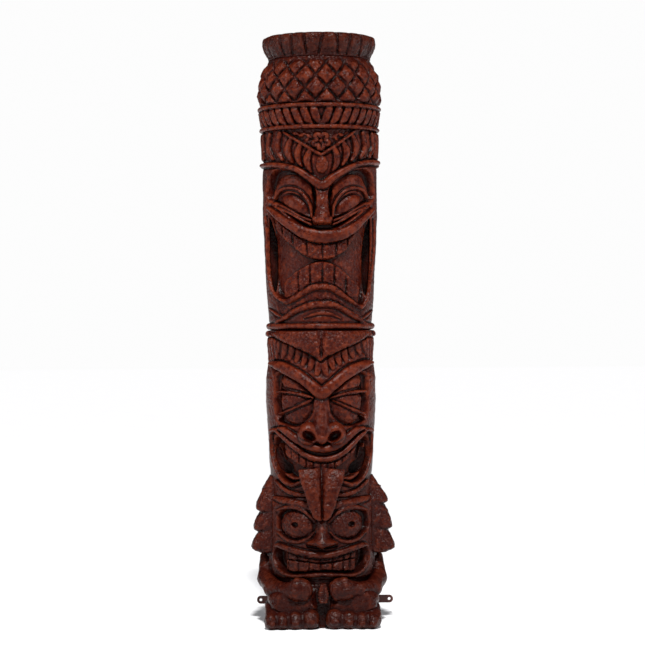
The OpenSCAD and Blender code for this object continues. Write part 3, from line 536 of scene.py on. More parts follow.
def upper_eyes(relief):
    socket = [[-168, 408], [-167, 456], [-150, 490], [-112, 492], [-74, 474], [-44, 452], [-24, 432],
              [-20, 392], [-22, 320], [-44, 314], [-70, 326], [-104, 350], [-136, 378], [-152, 396]]
    lid = [[-158, 408], [-152, 444], [-132, 464], [-106, 470], [-80, 464], [-54, 446], [-34, 420],
           [-27, 380], [-32, 344], [-60, 350], [-100, 372], [-136, 392]]
    eye = [[-146, 398], [-130, 414], [-98, 420], [-70, 408], [-50, 386], [-42, 352], [-70, 362], [-110, 384]]
    fold = [[-150, 408], [-134, 430], [-106, 437], [-78, 430], [-56, 411], [-39, 383], [-33, 348]]
    for side, turn in BOTH_SIDES:
        relief.level(closed(turn(socket)), -27, edge=9)
        relief.level(closed(turn(lid)), -10, edge=14, only_raise=True)
        relief.dome((-side * 94, 436), (66, 42), -13, 9, turn=side * -14)
        relief.level(closed(turn(eye)), -16, edge=5)
        relief.dome((-side * 94, 388), (56, 27), -18, 15, turn=side * -27, power=0.6)
        relief.ridge(smooth(turn(fold)), 10, 5, -5, sink=4)
        relief.ridge(smooth(turn([[-150, 392], [-112, 372], [-72, 348], [-34, 334]])), 9, 5, -9, sink=4)
        relief.ridge(smooth(turn([[-140, 378], [-104, 358], [-66, 336], [-32, 322]])), 8, 4, -9, sink=3)


def upper_nose(relief):
    u, v = relief.u, relief.v
    t = np.clip((436 - v) / 106, 0, 1)
    half = 17 + 13 * t**2
    q = np.clip(np.abs(u) / half, 0, 1)
    out = (1 + 27 * t**1.2) * (1 - q**2.4)
    here = ease(438, 428, v) * ease(322, 330, v) * (q < 1)
    relief.h = np.where(here > 0, np.maximum(relief.h, out * here - 4 * (1 - here)), relief.h)
    for side in (-1, 1):
        relief.dome((side * 21, 338), (11, 10), 6, 12)


def upper_mouth(relief):
    relief.level([[-34, 336], [34, 336], [34, 300], [-34, 300]], -20, edge=6)
    relief.level(closed(UPPER_MOUTH, 3), -22, edge=6, rough=0.45)
    teeth_top = [[-152, 348], [-134, 328], [-106, 306], [-66, 282], [0, 266], [68, 276], [102, 297],
                 [130, 323], [148, 342]]
    teeth_edge = [[-152, 318], [-140, 296], [-112, 266], [-85, 246], [-50, 224], [0, 215], [34, 221],
                  [60, 232], [84, 247], [106, 284], [128, 314], [148, 336]]
    cuts = [-152, -130, -98, -51, 0, 46, 84, 113, 150]
    relief.teeth(smooth(teeth_top, 3), smooth(teeth_edge, 3), cuts, -5)
    low_top = [[-136, 142], [-120, 160], [-95, 178], [-70, 192], [-36, 205], [0, 210], [34, 203], [60, 190],
               [82, 175], [110, 152], [134, 128]]
    low_edge = [[-136, 80], [-100, 92], [-40, 118], [0, 124], [40, 118], [100, 84], [134, 66]]
    relief.teeth(smooth(low_top, 3), smooth(low_edge, 3), [-134, -84, -43, 0, 42, 84, 134], -9)
    relief.ridge(smooth(UPPER_JAW), [9, 11, 13, 17, 20, 20, 20, 17, 13, 11, 9], 9, -1, sink=3)
    relief.ridge(smooth(UPPER_LIP), [14, 24, 36, 42, 36, 24, 14], 12, 0, sink=4, rough=0.3)


def upper_chin(relief):
    relief.level([[-150, 96], [-116, 76], [-70, 100], [0, 124], [70, 96], [134, 60], [146, 36], [88, 60],
                  [0, 86], [-88, 66], [-150, 34]], -3, edge=8, rough=1.0)
    relief.ridge(smooth([[-158, 22], [-138, 33], [-88, 60], [-36, 77], [0, 80], [36, 77], [88, 54],
                         [140, 26], [160, 14]]), [8, 18, 20, 20, 18, 8], 10, -1, rough=0.8)
    relief.ridge(smooth([[-62, 38], [-30, 48], [0, 52], [30, 48], [62, 36]]), [5, 10, 12, 10, 5], 6, -2)
    relief.ridge(smooth([[-178, 66], [-160, 52], [-140, 40]]), [6, 12, 6], 5, -1)
    relief.ridge(smooth([[178, 60], [160, 46], [142, 34]]), [6, 12, 6], 5, -1)


def upper_figure():
    low, high = span("upper_tiki_shell")
    relief = Relief(low, high, [(0, 160), (24, 161), (44, 162), (72, 165), (112, 168), (158, 170),
                                (215, 173), (252, 175), (310, 177), (348, 179), (518, 179), (540, 180),
                                (575, 181), (617, 181)], turn=-0.4)
    upper_hat(relief)
    upper_eyes(relief)
    upper_mouth(relief)
    upper_nose(relief)
    upper_chin(relief)
    flutes(relief, 26, 500, depth=5)
    around = [[a, 514] for a in np.linspace(1.42, 4.87, 40) * BODY_R]
    for shift in (0, -GIRTH):
        relief.ridge([[p[0] + shift, p[1]] for p in around], 16, 8, 0, wrap=False)
    relief.ridge(smooth(UPPER_BROW), [16, 16, 16, 18, 22, 30, 22, 18, 16, 16, 16], 11, 1, sink=4, rough=0.3)
    bead(relief, 11, 9.5, 9)
    block = turned(relief)
    left = [[-160, 350], [-142, 300], [-134, 250], [-134, 165], [-138, 128], [-145, 118], [-152, 150],
            [-157, 200], [-159, 270]]
    right = [[150, 346], [134, 300], [125, 250], [125, 165], [128, 122], [135, 106], [142, 130], [148, 195],
             [151, 270]]
    for slot in (left, right):
        hollow(block, np.array(slot) + [1, relief.floor], -30)
    return block


# ---------------- middle figure

MIDDLE_CREST = [[-168, 411], [-150, 407], [-122, 397], [-70, 372], [-37, 348], [0, 322], [34, 345],
                [70, 373], [104, 392], [150, 409], [168, 413]]
MIDDLE_PLATE = [[-172, 500], [-160, 493], [-123, 479], [-71, 457], [-36, 440], [-15, 426], [0, 420],
                [20, 434], [63, 454], [105, 470], [147, 489], [172, 500]]


def middle_hair(relief):
    """A fringe of short ribs under the plate, carried on round the back."""
    lines = [[-168, 434], [-151, 429], [-99, 423], [-57, 404], [-29, 387], [3, 366], [49, 404], [84, 415],
             [115, 432], [140, 442], [168, 440]]
    low = np.array(lines)
    plate = np.array(MIDDLE_PLATE)
    relief.level(lines + MIDDLE_PLATE[::-1], -5, edge=5, rough=0.4)
    for side in (-1, 1):
        for k in range(7):
            top_at = side * (10 + 22.5 * k)
            foot = top_at + side * (5 + 1.5 * k)
            top = np.interp(top_at, plate[:, 0], plate[:, 1]) + 6
            bottom = np.interp(foot, low[:, 0], low[:, 1]) - 2
            line = smooth([[foot, bottom + 6], [(foot + top_at) / 2 - side * 1.5, (top + bottom) / 2],
                           [top_at, top]])
            relief.ridge(line, [18, 24, 24, 24], 6, -5, sink=2)
    for k in range(34):
        u = degrees_round(62 + 7.2 * k)
        for shift in (0, -GIRTH):
            line = [[u + shift + 8, 424 + 4 * (k % 2)], [u + shift + 2, 455], [u + shift - 2, 494]]
            relief.ridge(line, [17, 23, 23, 23], 6, -5, sink=2, wrap=False)


def middle_plate(relief):
    """The leaf-like plate hung from the ring: two swollen halves with a valley between them."""
    u, v = relief.u, relief.v
    outline = relief.wrap(smooth(MIDDLE_PLATE, 3))
    edge = np.interp(u[0], outline[:, 0], outline[:, 1])[None, :]
    front = np.abs(u) < BODY_R * 1.36
    above = v - edge
    here = (above > 0) & (v < 512) & front
    swollen = np.clip(1 - ((np.abs(u) - 80) / 96) ** 2, -0.3, 1)
    out = 2 + 5 * ease(0, 9, above) + 11 * swollen - 4 * np.clip((v - 496) / 16, 0, 1) ** 2
    valley = np.clip(1 - np.abs(u) / (3 + 0.15 * np.maximum(above, 0)), 0, 1)
    out = out - 9 * valley**0.6 * ease(4, 24, above)
    relief.h = np.where(here, np.maximum(out, 0.5), relief.h)
    relief.rough = np.where(here, 1.0, relief.rough)
    below = (above <= 0) & front
    relief.h -= np.where(below, 5 * np.exp(-((above + 2.5) / 4.0) ** 2), 0)


def middle_eyes(relief):
    socket = [[-26, 306], [-36, 326], [-64, 350], [-92, 368], [-124, 382], [-146, 380], [-153, 356],
              [-153, 300], [-149, 248], [-132, 226], [-84, 220], [-54, 236], [-32, 262]]
    for side, turn in BOTH_SIDES:
        relief.level(closed(turn(socket)), -20, edge=10, rough=0.3)
        relief.dome((-side * 89, 292), (66, 70), -20, 21, power=0.42, turn=side * -8, rough=0.7)
        relief.dome((-side * 100, 346), (50, 26), -14, 12, turn=side * -24, power=0.4)
        relief.groove(turn([[-146, 342], [-110, 336], [-70, 328], [-34, 316]]), [3, 5, 5, 4], 4)
        for lid in ([[-147, 325], [-110, 324], [-70, 318], [-30, 307]],
                    [[-141, 255], [-108, 267], [-78, 280], [-36, 299]]):
            relief.ridge(smooth(turn(lid)), [4, 8, 10, 9], 5, 0, sink=4)
        relief.groove(turn([[-142, 376], [-148, 310], [-143, 240]]), 8, 9)


def middle_mouth(relief):
    cavity = [[-164, 160], [-152, 182], [-132, 180], [-107, 158], [-78, 138], [-43, 116], [0, 108],
              [40, 113], [76, 132], [107, 160], [132, 182], [152, 182], [164, 160], [158, 98], [140, 62],
              [107, 44], [70, 50], [0, 60], [-70, 50], [-107, 44], [-140, 62], [-158, 98]]
    relief.level(closed(cavity, 3), -30, edge=6, rough=0.4)
    top = [[-124, 176], [-107, 160], [-78, 140], [-43, 118], [0, 110], [40, 115], [76, 133], [107, 160],
           [120, 174]]
    edge = [[-128, 136], [-116, 124], [-80, 101], [-43, 85], [0, 79], [40, 86], [73, 104], [104, 132],
            [118, 148]]
    cuts = [-128, -104, -78, -54, -30, -5, 20, 44, 70, 96, 120]
    relief.teeth(smooth(top, 3), smooth(edge, 3), cuts, 0, gap=1.5)
    for _, turn in BOTH_SIDES:
        rim = [[-166, 196], [-168, 147], [-161, 98], [-143, 59], [-107, 38], [-70, 48], [-40, 54]]
        inner = [[-147, 162], [-145, 112], [-132, 76], [-107, 58], [-74, 59]]
        chin = [[-160, 48], [-149, 38], [-121, 19], [-85, 9], [-50, 8], [0, 12]]
        relief.ridge(smooth(turn(rim)), [8, 11, 13, 14, 14, 12, 8], 9, 0, sink=3)
        relief.ridge(smooth(turn(inner)), [8, 12, 13, 12, 8], 9, -12, sink=0)
        relief.ridge(smooth(turn(chin)), [8, 14, 15, 14, 10], 7, 0, sink=3, rough=0.6)
    lip = [[-168, 202], [-150, 206], [-136, 194], [-107, 168], [-78, 147], [-43, 126], [0, 118], [40, 123],
           [76, 141], [107, 168], [136, 194], [150, 206], [168, 202]]
    relief.ridge(smooth(lip), [12, 16, 18, 18, 18, 18, 18, 18, 18, 16, 12], 9, 1, sink=5)
    over = [[-138, 212], [-122, 206], [-86, 181], [-40, 158], [0, 150], [45, 158], [80, 181], [112, 205],
            [136, 212]]
    relief.ridge(smooth(over), [10, 22, 28, 26, 24, 26, 28, 22, 10], 12, 1, sink=4)


def middle_figure():
    low, high = span("middle_tiki_shell")
    relief = Relief(low, high, [(0, 162), (30, 162), (59, 160), (97, 163), (130, 165), (160, 166),
                                (200, 169), (250, 172), (290, 173.5), (363, 173), (401, 168), (430, 164),
                                (470, 167), (490, 166), (515, 162)], turn=1.2)
    relief.h -= 2
    middle_eyes(relief)
    middle_mouth(relief)
    flutes(relief, 22, 410, depth=5)
    middle_hair(relief)
    bead(relief, 504, 9.5, 9)
    middle_plate(relief)
    widths = [14, 26, 36, 36, 36, 40, 36, 36, 36, 26, 14]
    relief.ridge(smooth(MIDDLE_CREST), widths, 13, 0, sink=5, rough=0.3)
    block = turned(relief)
    floor = relief.floor
    middle_nose(block, floor)
    for side in (-1, 1):
        corner = [[side * 122, 150], [side * 138, 144], [side * 136, 110], [side * 122, 82], [side * 98, 70],
                  [side * 84, 78], [side * 88, 98], [side * 112, 118]]
        hollow(block, np.array(corner) + [-4, floor], -62)
    return block


def middle_nose(block, floor, x=-4):
    """A bridge, two flared wings with open nostrils, and the tip between them."""
    box = (-90, -BODY_R - 60, floor + 140), (80, -120, floor + 330)
    block.add(limb((x, -150, floor + 312), (x, -172, floor + 214), 21, 24), *box, soft=8)
    for side in (-1, 1):
        block.add(ellipsoid((x + side * 42, -174, floor + 198), (33, 30, 36), side * 16), *box, soft=6)
    block.add(ellipsoid((x, -180, floor + 183), (15, 17, 18)), *box, soft=12)
    for side in (-1, 1):
        hole = ellipsoid((x + side * 38, -210, floor + 188), (26, 42, 17), side * 36)
        block.cut(hole, *box, soft=3)


def wedge_nose(relief):
    """A narrow bridge that spreads into two pointed wings over a blunt tip."""
    outline = [(110, 4), (117, 22), (122, 50), (128, 60), (134, 48), (142, 31), (155, 23), (186, 19),
               (198, 15)]
    heights, halves = zip(*outline)
    half = np.interp(relief.v, heights, halves)
    out = np.interp(relief.v, [110, 117, 127, 150, 186, 200], [16, 36, 39, 27, 12, 0])
    q = np.clip(np.abs(relief.u) / half, 0, 1)
    here = (relief.v > 110) & (relief.v < 200) & (q < 1)
    relief.h = np.where(here, np.maximum(relief.h, out * (1 - q**1.7) - 2), relief.h)
    for side in (-1, 1):
        relief.groove([[side * 10, 111], [side * 50, 117]], 8, 8)


# ---------------- lower figure


def lower_eyes(relief):
    left = [[-146, 197], [-144, 211], [-129, 224], [-101, 228], [-73, 225], [-45, 206], [-24, 185],
            [-31, 164], [-59, 141], [-87, 134], [-118, 141], [-143, 162]]
    right = [[24, 188], [43, 208], [72, 218], [107, 224], [135, 222], [152, 212], [156, 183], [149, 160],
             [107, 138], [72, 138], [42, 156]]
    for outline, side in ((left, -1), (right, 1)):
        relief.level(closed(outline), -21, edge=7, rough=0.3)
        relief.dome((side * 85, 181), (75, 48), -21, 26, power=0.42, rough=0.8)
        c = relief.wrap([[side * 92 + 4, 182]])[0]
        q = np.hypot((relief.u - c[0]) / 12, (relief.v - c[1]) / 7.5)
        relief.h -= 12 * ease(1.2, 0.8, q)
        for k in range(14):
            a = 2 * np.pi * k / 14
            spoke = [[c[0] + r * 1.3 * math.cos(a), c[1] + r * math.sin(a)] for r in (15, 25)]
            relief.groove(spoke, 3, 1.2, wrap=False)
        over = [[side * 150, 222], [side * 118, 234], [side * 80, 233], [side * 44, 214], [side * 22, 192]]
        relief.ridge(smooth(over), [7, 12, 13, 12, 8], 6, 0, sink=2)
        under = [[side * 146, 156], [side * 112, 133], [side * 78, 129], [side * 44, 142], [side * 26, 160]]
        relief.ridge(smooth(under), [7, 11, 12, 11, 7], 5, 0, sink=2)


def lower_mouth(relief):
    cavity = [[-150, 101], [-140, 108], [-102, 97], [-56, 86], [-4, 82], [40, 84], [84, 96], [130, 109],
              [143, 104], [146, 84], [142, 62], [128, 42], [102, 32], [49, 34], [-4, 37], [-60, 32],
              [-102, 29], [-128, 37], [-144, 54], [-152, 76]]
    relief.level(closed(cavity, 3), -26, edge=6, rough=0.4)
    split = [[-120, 74], [-84, 71], [-46, 67.5], [-4, 64], [49, 69], [95, 76], [112, 78]]
    top = [[-133, 112], [-102, 100], [-56, 90], [-4, 85], [32, 87], [84, 99], [120, 109]]
    low = [[-122, 38], [-84, 36], [-46, 38], [-4, 42], [49, 40], [95, 38], [116, 42]]
    cuts = [-132, -114, -81, -44, -5, 35, 72, 95, 118]
    relief.teeth(smooth(top, 3), smooth(split, 3) + [0, 0.6], cuts, -3, gap=1.7)
    relief.teeth(smooth(split, 3) - [0, 0.6], smooth(low, 3), cuts, -5, gap=1.7)
    under = [[-150, 108], [-157, 76], [-149, 51], [-131, 32], [-102, 23], [-60, 25], [-4, 30], [49, 27],
             [102, 25], [131, 37], [149, 61], [152, 88], [147, 108]]
    relief.ridge(smooth(under), [8, 12, 13, 13, 13, 13, 13, 12, 8], 8, 1, sink=3)
    over = [[-152, 112], [-140, 115], [-102, 105], [-56, 95], [-4, 90], [32, 91], [84, 104], [134, 116],
            [148, 112]]
    relief.ridge(smooth(over), [8, 18, 21, 22, 21, 18, 8], 10, 1, sink=4)


def lower_head():
    low, high = span("lower_head_shell")
    relief = Relief(low, high, [(0, 160), (12, 160), (18, 167), (40, 170), (120, 171), (200, 171),
                                (250, 169), (265, 162)], turn=1.5)
    relief.ridge(smooth([[-160, 262], [-101, 249], [-46, 240], [0, 236], [39, 240], [101, 249], [160, 262]]),
                 [18, 26, 28, 26, 18], 6, 0, sink=2, rough=0.8)
    relief.ridge(smooth([[-24, 214], [0, 206], [24, 214]]), [8, 16, 8], 5, 0, sink=2)
    lower_eyes(relief)
    lower_mouth(relief)
    wedge_nose(relief)
    flutes(relief, 20, 262, depth=4, edge=1.2)
    return turned(relief)


def leg_block():
    low, high = span("leg_shell")
    relief = Relief(low, high, [(0, 166), (14, 170), (60, 170), (100, 166), (120, 162), (135, 161)])
    relief.rough[:] = 0.6
    flutes(relief, 6, 130, depth=4, edge=1.2)
    block = turned(relief)
    for side in (-1, 1):
        thigh = ellipsoid((side * 92, -118, 92), (80, 82, 40), side * -6)
        box = ((-190, -215, 30), (-8, 0, 134)) if side < 0 else ((8, -215, 30), (190, 0, 134))
        block.add(thigh, *box, soft=10)
        block.add(ellipsoid((side * 90, -160, 66), (72, 38, 24)), *box, soft=8)
    hollow(block, [[-20, 60], [-24, 108], [-14, 131], [14, 131], [24, 108], [18, 60], [9, 6], [-1, -12],
                   [-12, 6]], -164)
    block.cut(lambda x, y, z: 133.8 - z + 0 * x + 0 * y, soft=2)
    return block


def tongue():
    low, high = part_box("tongue")
    top, tip = high.z / MM + 9, low.z / MM + 10
    middle = -5.0
    block = Block((-84, -214, tip - 4), (84, -150, top + 4))
    rows = [(tip - 4, 6), (tip + 2, 20), (tip + 10, 28), (tip + 24, 33), (370, 39), (412, 51), (451, 65),
            (499, 74)]
    _, x, y, z = block.cells()
    heights, halves = zip(*rows)
    half = np.interp(z, heights, halves)
    front = np.interp(z, [tip, 345, 380, 430, 470, 499], [207, 206, 203, 198, 187, 174])
    side = np.abs(x - middle)
    swell = np.sqrt(np.clip(1 - ((side - half * 0.52) / (half * 0.55)) ** 2, 0, 1))
    valley = 4 + 9 * np.clip((z - tip) / (top - tip), 0, 1)
    hollow_in = (5 + 0.6 * valley) * np.exp(-(side / valley) ** 2)
    face = -(front - 11 + 13 * swell - hollow_in)
    outside = np.maximum(side - half, np.maximum(face - y, y - (face + 20)))
    ends = np.maximum(z - top + 0.10 * side, tip - z)
    block.field = np.clip(np.maximum(outside, ends), -FAR, FAR).astype(np.float32)
    block.field = block.field + np.zeros(block.count, np.float32)
    return block


def arm(node, side):
    low, high = corners(node)
    block = Block(low - 10, high + 10)
    shoulder, elbow, bend, wrist = (168, 10, 198), (173, -36, 140), (154, -106, 116), (106, -162, 116)
    fist = 70 if side < 0 else 50
    joints = [(side * x, y, z) for x, y, z in (shoulder, elbow, bend, wrist)]
    for a, b, r_a, r_b in zip(joints, joints[1:], (26, 28, 27), (28, 27, 23)):
        block.add(limb(a, b, r_a, r_b), soft=10)
    block.add(limb(joints[-1], (side * (fist + 10), -176, 124), 24, 26), soft=10)
    block.add(ellipsoid((side * (fist + 6), -180, 120), (42, 26, 36), side * -14), soft=8)
    for k, (z, reach, out) in enumerate(((146, -8, 0), (132, 4, 5), (117, 6, 6), (103, 0, 3))):
        knuckle = (side * (fist + 14 + 3 * k), -190 - out, z + 2)
        block.add(limb(knuckle, (side * (fist - 14 - reach), -184 - out / 2, z - 8), 11, 9), soft=5)
        block.add(ellipsoid(knuckle, (13, 12, 9), side * -20), soft=5)
    return block


def shoulder_scales(node, side):
    """A smooth shoulder over three rows of leaves, each flaring out over the next."""
    low, high = span(node)
    high += 22
    # each row's top level and radius there, then its tips' level and radius
    rows = ([(412, 188, 366, 209), (356, 188, 303, 215), (296, 193, 243, 223)] if side < 0 else
            [(420, 188, 388, 211), (376, 194, 306, 222), (300, 200, 243, 231)])
    base, width, drop = 172, math.radians(38), 14
    relief = Relief(low, high, [(0, base), (high - low, base)], floor=0)
    levels = [low, low + 26, low + 60, 330, 405, 428, high]
    relief.h += np.interp(relief.v, levels, [base, 174, 180, 183, 187, 181, 160]) - base
    beside = side * relief.angle[None, :]
    for row, (top, r_top, corner, r_out) in reversed(list(enumerate(rows))):
        for k in range(3):
            centre = math.radians(78 + 6 * (row % 2)) + k * width
            across = np.clip(np.abs(beside - centre) / (width / 2), 0, 1)
            edge = corner - drop + 30 * across**2
            t = np.sin(np.clip((top - relief.v) / (top - corner + drop), 0, 1) * np.pi / 2)
            under = np.clip((edge + 6 - relief.v) / 16, 0, 1)
            out = r_top + (r_out - r_top) * t - base - 9 * across**3 - 30 * under**1.6
            here = (across < 1) & (relief.v < top + 8) & (under < 1)
            relief.h = np.where(here, np.maximum(relief.h, out), relief.h)
            seam = np.exp(-(((1 - across) * width / 2 * BODY_R) / 4.0) ** 2)
            in_row = (across < 1) & (relief.v < top) & (relief.v > corner - 10)
            relief.h -= np.where(in_row, 7 * seam, 0)
    merge = ease(math.radians(66), math.radians(79), beside)
    under_head = -8 - 16 * ease(385, 408, relief.v)
    relief.h = under_head + (relief.h - under_head) * merge
    relief.rough[:] = 0.8
    return sector(relief, side, *fan(node))


def fan(node):
    """How far round from the front a shoulder piece starts and stops, in degrees."""
    low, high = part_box(node)
    inner = min(abs(low.x), abs(high.x)) / MM
    back = math.degrees(math.asin(min(inner / 215, 1)))
    return 64.0, 180 - back


def sector(relief, side, first, last):
    """The part of a turned tier between two angles from the front, hollow inside."""
    block = turned(relief)
    _, x, y, z = block.cells()
    angle = np.arctan2(side * x, -y)
    r = np.hypot(x, y)
    outside = np.maximum((math.radians(first) - angle) * r, (angle - math.radians(last)) * r)
    shape = np.maximum(outside, 150 - r)
    block.field = -blend_min(-block.field, -(shape + 0 * z), 5)
    return block


def foot(node, side):
    """A blunt foot: a rounded block, four toes with grooves between them, and a nail on each."""
    low, high = corners(node)
    block = Block(low - 8, (high[0] + 8, high[1] + 6, 88))
    toes = ([(-160, 17), (-128, 18), (-88, 20), (-42, 23)] if side < 0 else
            [(32, 23), (76, 20), (116, 18), (148, 17)])
    inner, outer = (-16, -180) if side < 0 else (8, 176)
    middle, half = (inner + outer) / 2, abs(outer - inner) / 2
    edge = 24  # radius of the foot's rounded edges

    def instep(x, y, z):
        top = 50 + 30 * np.clip((y + 200) / 80, 0, 1)
        tuck = 12 * np.clip(1 - z / 26, 0, 1) ** 2  # the sides turn in towards the ground
        q = np.maximum(np.abs(x - middle) - half + edge + tuck, 0)
        f = np.maximum(-168 - y, 0)
        wall = np.sqrt(q**2 + np.maximum(z - top + edge, 0) ** 2 + f**2) - edge
        return np.maximum(wall, y + 30)

    block.add(instep, soft=4)
    for x, radius in toes:
        block.add(ellipsoid((x, -182, radius + 6), (radius + 5, 28, radius + 10)), soft=8)
        block.add(ellipsoid((x, -208, radius + 1), (radius * 0.62, 7, radius * 0.52)), soft=0.8)
    places = sorted(x for x, _ in toes)
    for a, b in zip(places, places[1:]):
        gap = (a + b) / 2
        block.cut(limb((gap, -214, -4), (gap, -198, 58), 5, 3), soft=5)
    block.cut(lambda x, y, z: z + 0 * x + 0 * y, soft=10)
    return block


def loin_leaf():
    """A jagged leaf between the fists, with a rib down its middle."""
    block = Block((-30, -204, 72), (30, -150, 142))
    _, x, y, z = block.cells()
    t = np.clip((138 - z) / 58, 0, 1)
    notch = np.abs((z / 9.0 + 0.3 * np.sign(x)) % 1 - 0.5) * 2
    half = 9 + 10 * np.sin(t * np.pi * 0.85) - 5 * notch * (np.abs(x) > 4)
    front = 192 + 3 * t - 3 * np.exp(-(x / 2.0) ** 2) + 2.2 * notch
    ends = np.maximum(y + 160, np.maximum(z - 138, 80 - z))
    field = np.maximum(np.maximum(np.abs(x + 2) - half, -front - y), ends)
    block.field = np.clip(field, -FAR, FAR).astype(np.float32)
    return block


# ---------------- meshes


ALSO_HIDDEN = {"tongue": ("tongue_dowels",), "loin_leaf": ("leaf_dowel",), "left_arm": ("arm_dowels",),
               "left_shoulder_scales": ("scale_dowels",)}  # pins that end inside a piece


def carved_blocks():
    """Each carved block, with the CAD node that it stands for."""
    made = {"leaf_rim": leaf_rim(), "pineapple_shell": pineapple(), "hat_band": hat_band(),
            "upper_tiki_shell": upper_figure(), "middle_tiki_shell": middle_figure(),
            "lower_head_shell": lower_head(), "leg_shell": leg_block(), "tongue": tongue(),
            "loin_leaf": loin_leaf()}
    for name, side in (("left", 1), ("right", -1)):
        made[f"{name}_arm"] = arm(f"{name}_arm", side)
        made[f"{name}_shoulder_scales"] = shoulder_scales(f"{name}_shoulder_scales", side)
        made[f"{name}_foot"] = foot(f"{name}_foot", side)
    return made


def blurred(grid, reach):
    """The grid, blurred by a Gaussian of so many cells."""
    taps = np.arange(-math.ceil(2.5 * reach), math.ceil(2.5 * reach) + 1)
    weights = np.exp(-(taps / reach) ** 2 / 2)
    weights /= weights.sum()
    for axis in range(grid.ndim):
        padding = [(0, 0)] * grid.ndim
        padding[axis] = (len(taps) // 2,) * 2
        wide = np.pad(grid, padding, mode="edge")
        size = grid.shape[axis]
        grid = sum(w * np.take(wide, range(k, k + size), axis) for k, w in enumerate(weights))
    return grid


class Surroundings:
    """How much solid lies round a point, at three distances. A flat surface reads 0.5."""

    COARSE = 2  # lattice steps to a cell

    def __init__(self, blocks):
        low = np.min([b.first for b in blocks], 0) - 20
        high = np.max([b.first + b.count for b in blocks], 0) + 20
        self.first = low - low % self.COARSE
        self.solid = np.zeros((high - self.first) // self.COARSE + 1, np.float32)
        for b in blocks:
            skip = (-b.first) % self.COARSE
            part = b.field[tuple(slice(s, None, self.COARSE) for s in skip)]
            at = (b.first + skip - self.first) // self.COARSE
            room = tuple(slice(a, a + n) for a, n in zip(at, part.shape))
            filled = np.clip(0.5 - part / (STEP * self.COARSE), 0, 1)
            self.solid[room] = np.maximum(self.solid[room], filled)
        cell = STEP * self.COARSE
        self.grids = {name: blurred(self.solid, reach / cell)
                      for name, reach in (("near", NEAR), ("around", AROUND), ("far", WIDE))}

    def read(self, name, points):
        p = points / STEP / self.COARSE - self.first / self.COARSE
        cell = np.floor(p).astype(int)
        t = p - cell
        grid, total = self.grids[name], 0
        for corner in np.ndindex(2, 2, 2):
            weight = np.prod(np.where(corner, t, 1 - t), axis=1)
            total = total + weight * grid[tuple((cell + corner).T)]
        return total


def vertex_normals(points, faces):
    across = np.cross(points[faces[:, 2]] - points[faces[:, 0]], points[faces[:, 3]] - points[faces[:, 1]])
    total = np.zeros_like(points)
    for corner in range(4):
        for axis in range(3):
            total[:, axis] += np.bincount(faces[:, corner], across[:, axis], len(points))
    return total / np.maximum(np.linalg.norm(total, axis=1), 1e-9)[:, None]


def map_at(block, name, points):
    """A value of the block's height map at each point."""
    relief = block.relief
    column = ((np.arctan2(points[:, 0], -points[:, 1]) + relief.turn) / (2 * np.pi) + 0.5) * COLUMNS
    row = np.clip(np.searchsorted(relief.z, points[:, 2]), 0, len(relief.z) - 1)
    return getattr(relief, name)[row, column.astype(int) % COLUMNS]


def roughness_at(block, points):
    """How strongly each point is tool marked."""
    return map_at(block, "rough", points) if hasattr(block, "relief") else np.full(len(points), PLAIN_ROUGH)


def incision_at(block, points):
    """1 in a narrow cut, where dark stain gathers, and 0 elsewhere."""
    if not hasattr(block, "relief"):
        return np.zeros(len(points))
    relief = block.relief
    if not hasattr(relief, "cut"):
        relief.cut = np.clip((blurred(relief.h, 2.2) - relief.h - 0.5) / 2.2, 0, 1)
    return map_at(block, "cut", points)


def carve(block, seed):
    """The block's mesh, with the marks of a small gouge. Returns points and faces."""
    points, _, faces = block.mesh()
    faces = faces.astype(np.int64)
    normals = vertex_normals(points, faces)
    marks = tool_marks(points * [1, 1, 0.8], MARK_SIZE, seed)
    swell = value_noise(points, 46, seed + 7) + 0.5 * value_noise(points, 19, seed + 8)
    shift = roughness_at(block, points) * MARK_DEPTH * (marks - 0.4) + 0.9 * swell
    low, high = points[:, 2].min() + STEP, points[:, 2].max() - STEP
    shift = shift * ((points[:, 2] > low) & (points[:, 2] < high))
    points = points + normals * shift[:, None]
    points[:, 2] = np.maximum(points[:, 2], 0)  # nothing sinks into the ground
    return points, faces


def build(name, points, faces, facts):
    """A Blender object from points in millimetres, with values held per point."""
    mesh = bpy.data.meshes.new(name)
    mesh.vertices.add(len(points))
    mesh.vertices.foreach_set("co", (points * MM).astype(np.float32).ravel())
    mesh.loops.add(faces.size)
    mesh.loops.foreach_set("vertex_index", faces.astype(np.int32).ravel())
    mesh.polygons.add(len(faces))
    mesh.polygons.foreach_set("loop_start", np.arange(0, faces.size, 4, dtype=np.int32))
    mesh.update(calc_edges=True)
    mesh.validate()
    mesh.polygons.foreach_set("use_smooth", np.ones(len(mesh.polygons), bool))
    for fact, values in facts.items():
        layer = mesh.attributes.new(fact, "FLOAT", "POINT")
        layer.data.foreach_set("value", values.astype(np.float32))
    return put_in_scene(name, mesh)


def put_in_scene(name, data):
    thing = bpy.data.objects.new(name, data)
    bpy.context.scene.collection.objects.link(thing)
    return thing


def carved_pieces(resin):
    blocks = carved_blocks()
    around = Surroundings(list(blocks.values()))
    for seed, (node, block) in enumerate(blocks.items()):
        points, faces = carve(block, 100 + 10 * seed)
        normals = vertex_normals(points, faces)
        facts = {name: around.read(name, points + normals * 1.5) for name in around.grids}
        facts["cut"] = incision_at(block, points)
        facts["rough"] = roughness_at(block, points)
        piece = build(f"carved_{node}", points, faces, facts)
        piece.data.materials.append(resin)
        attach(piece, "root")
        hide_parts(node, *ALSO_HIDDEN.get(node, ()))


# ---------------- materials


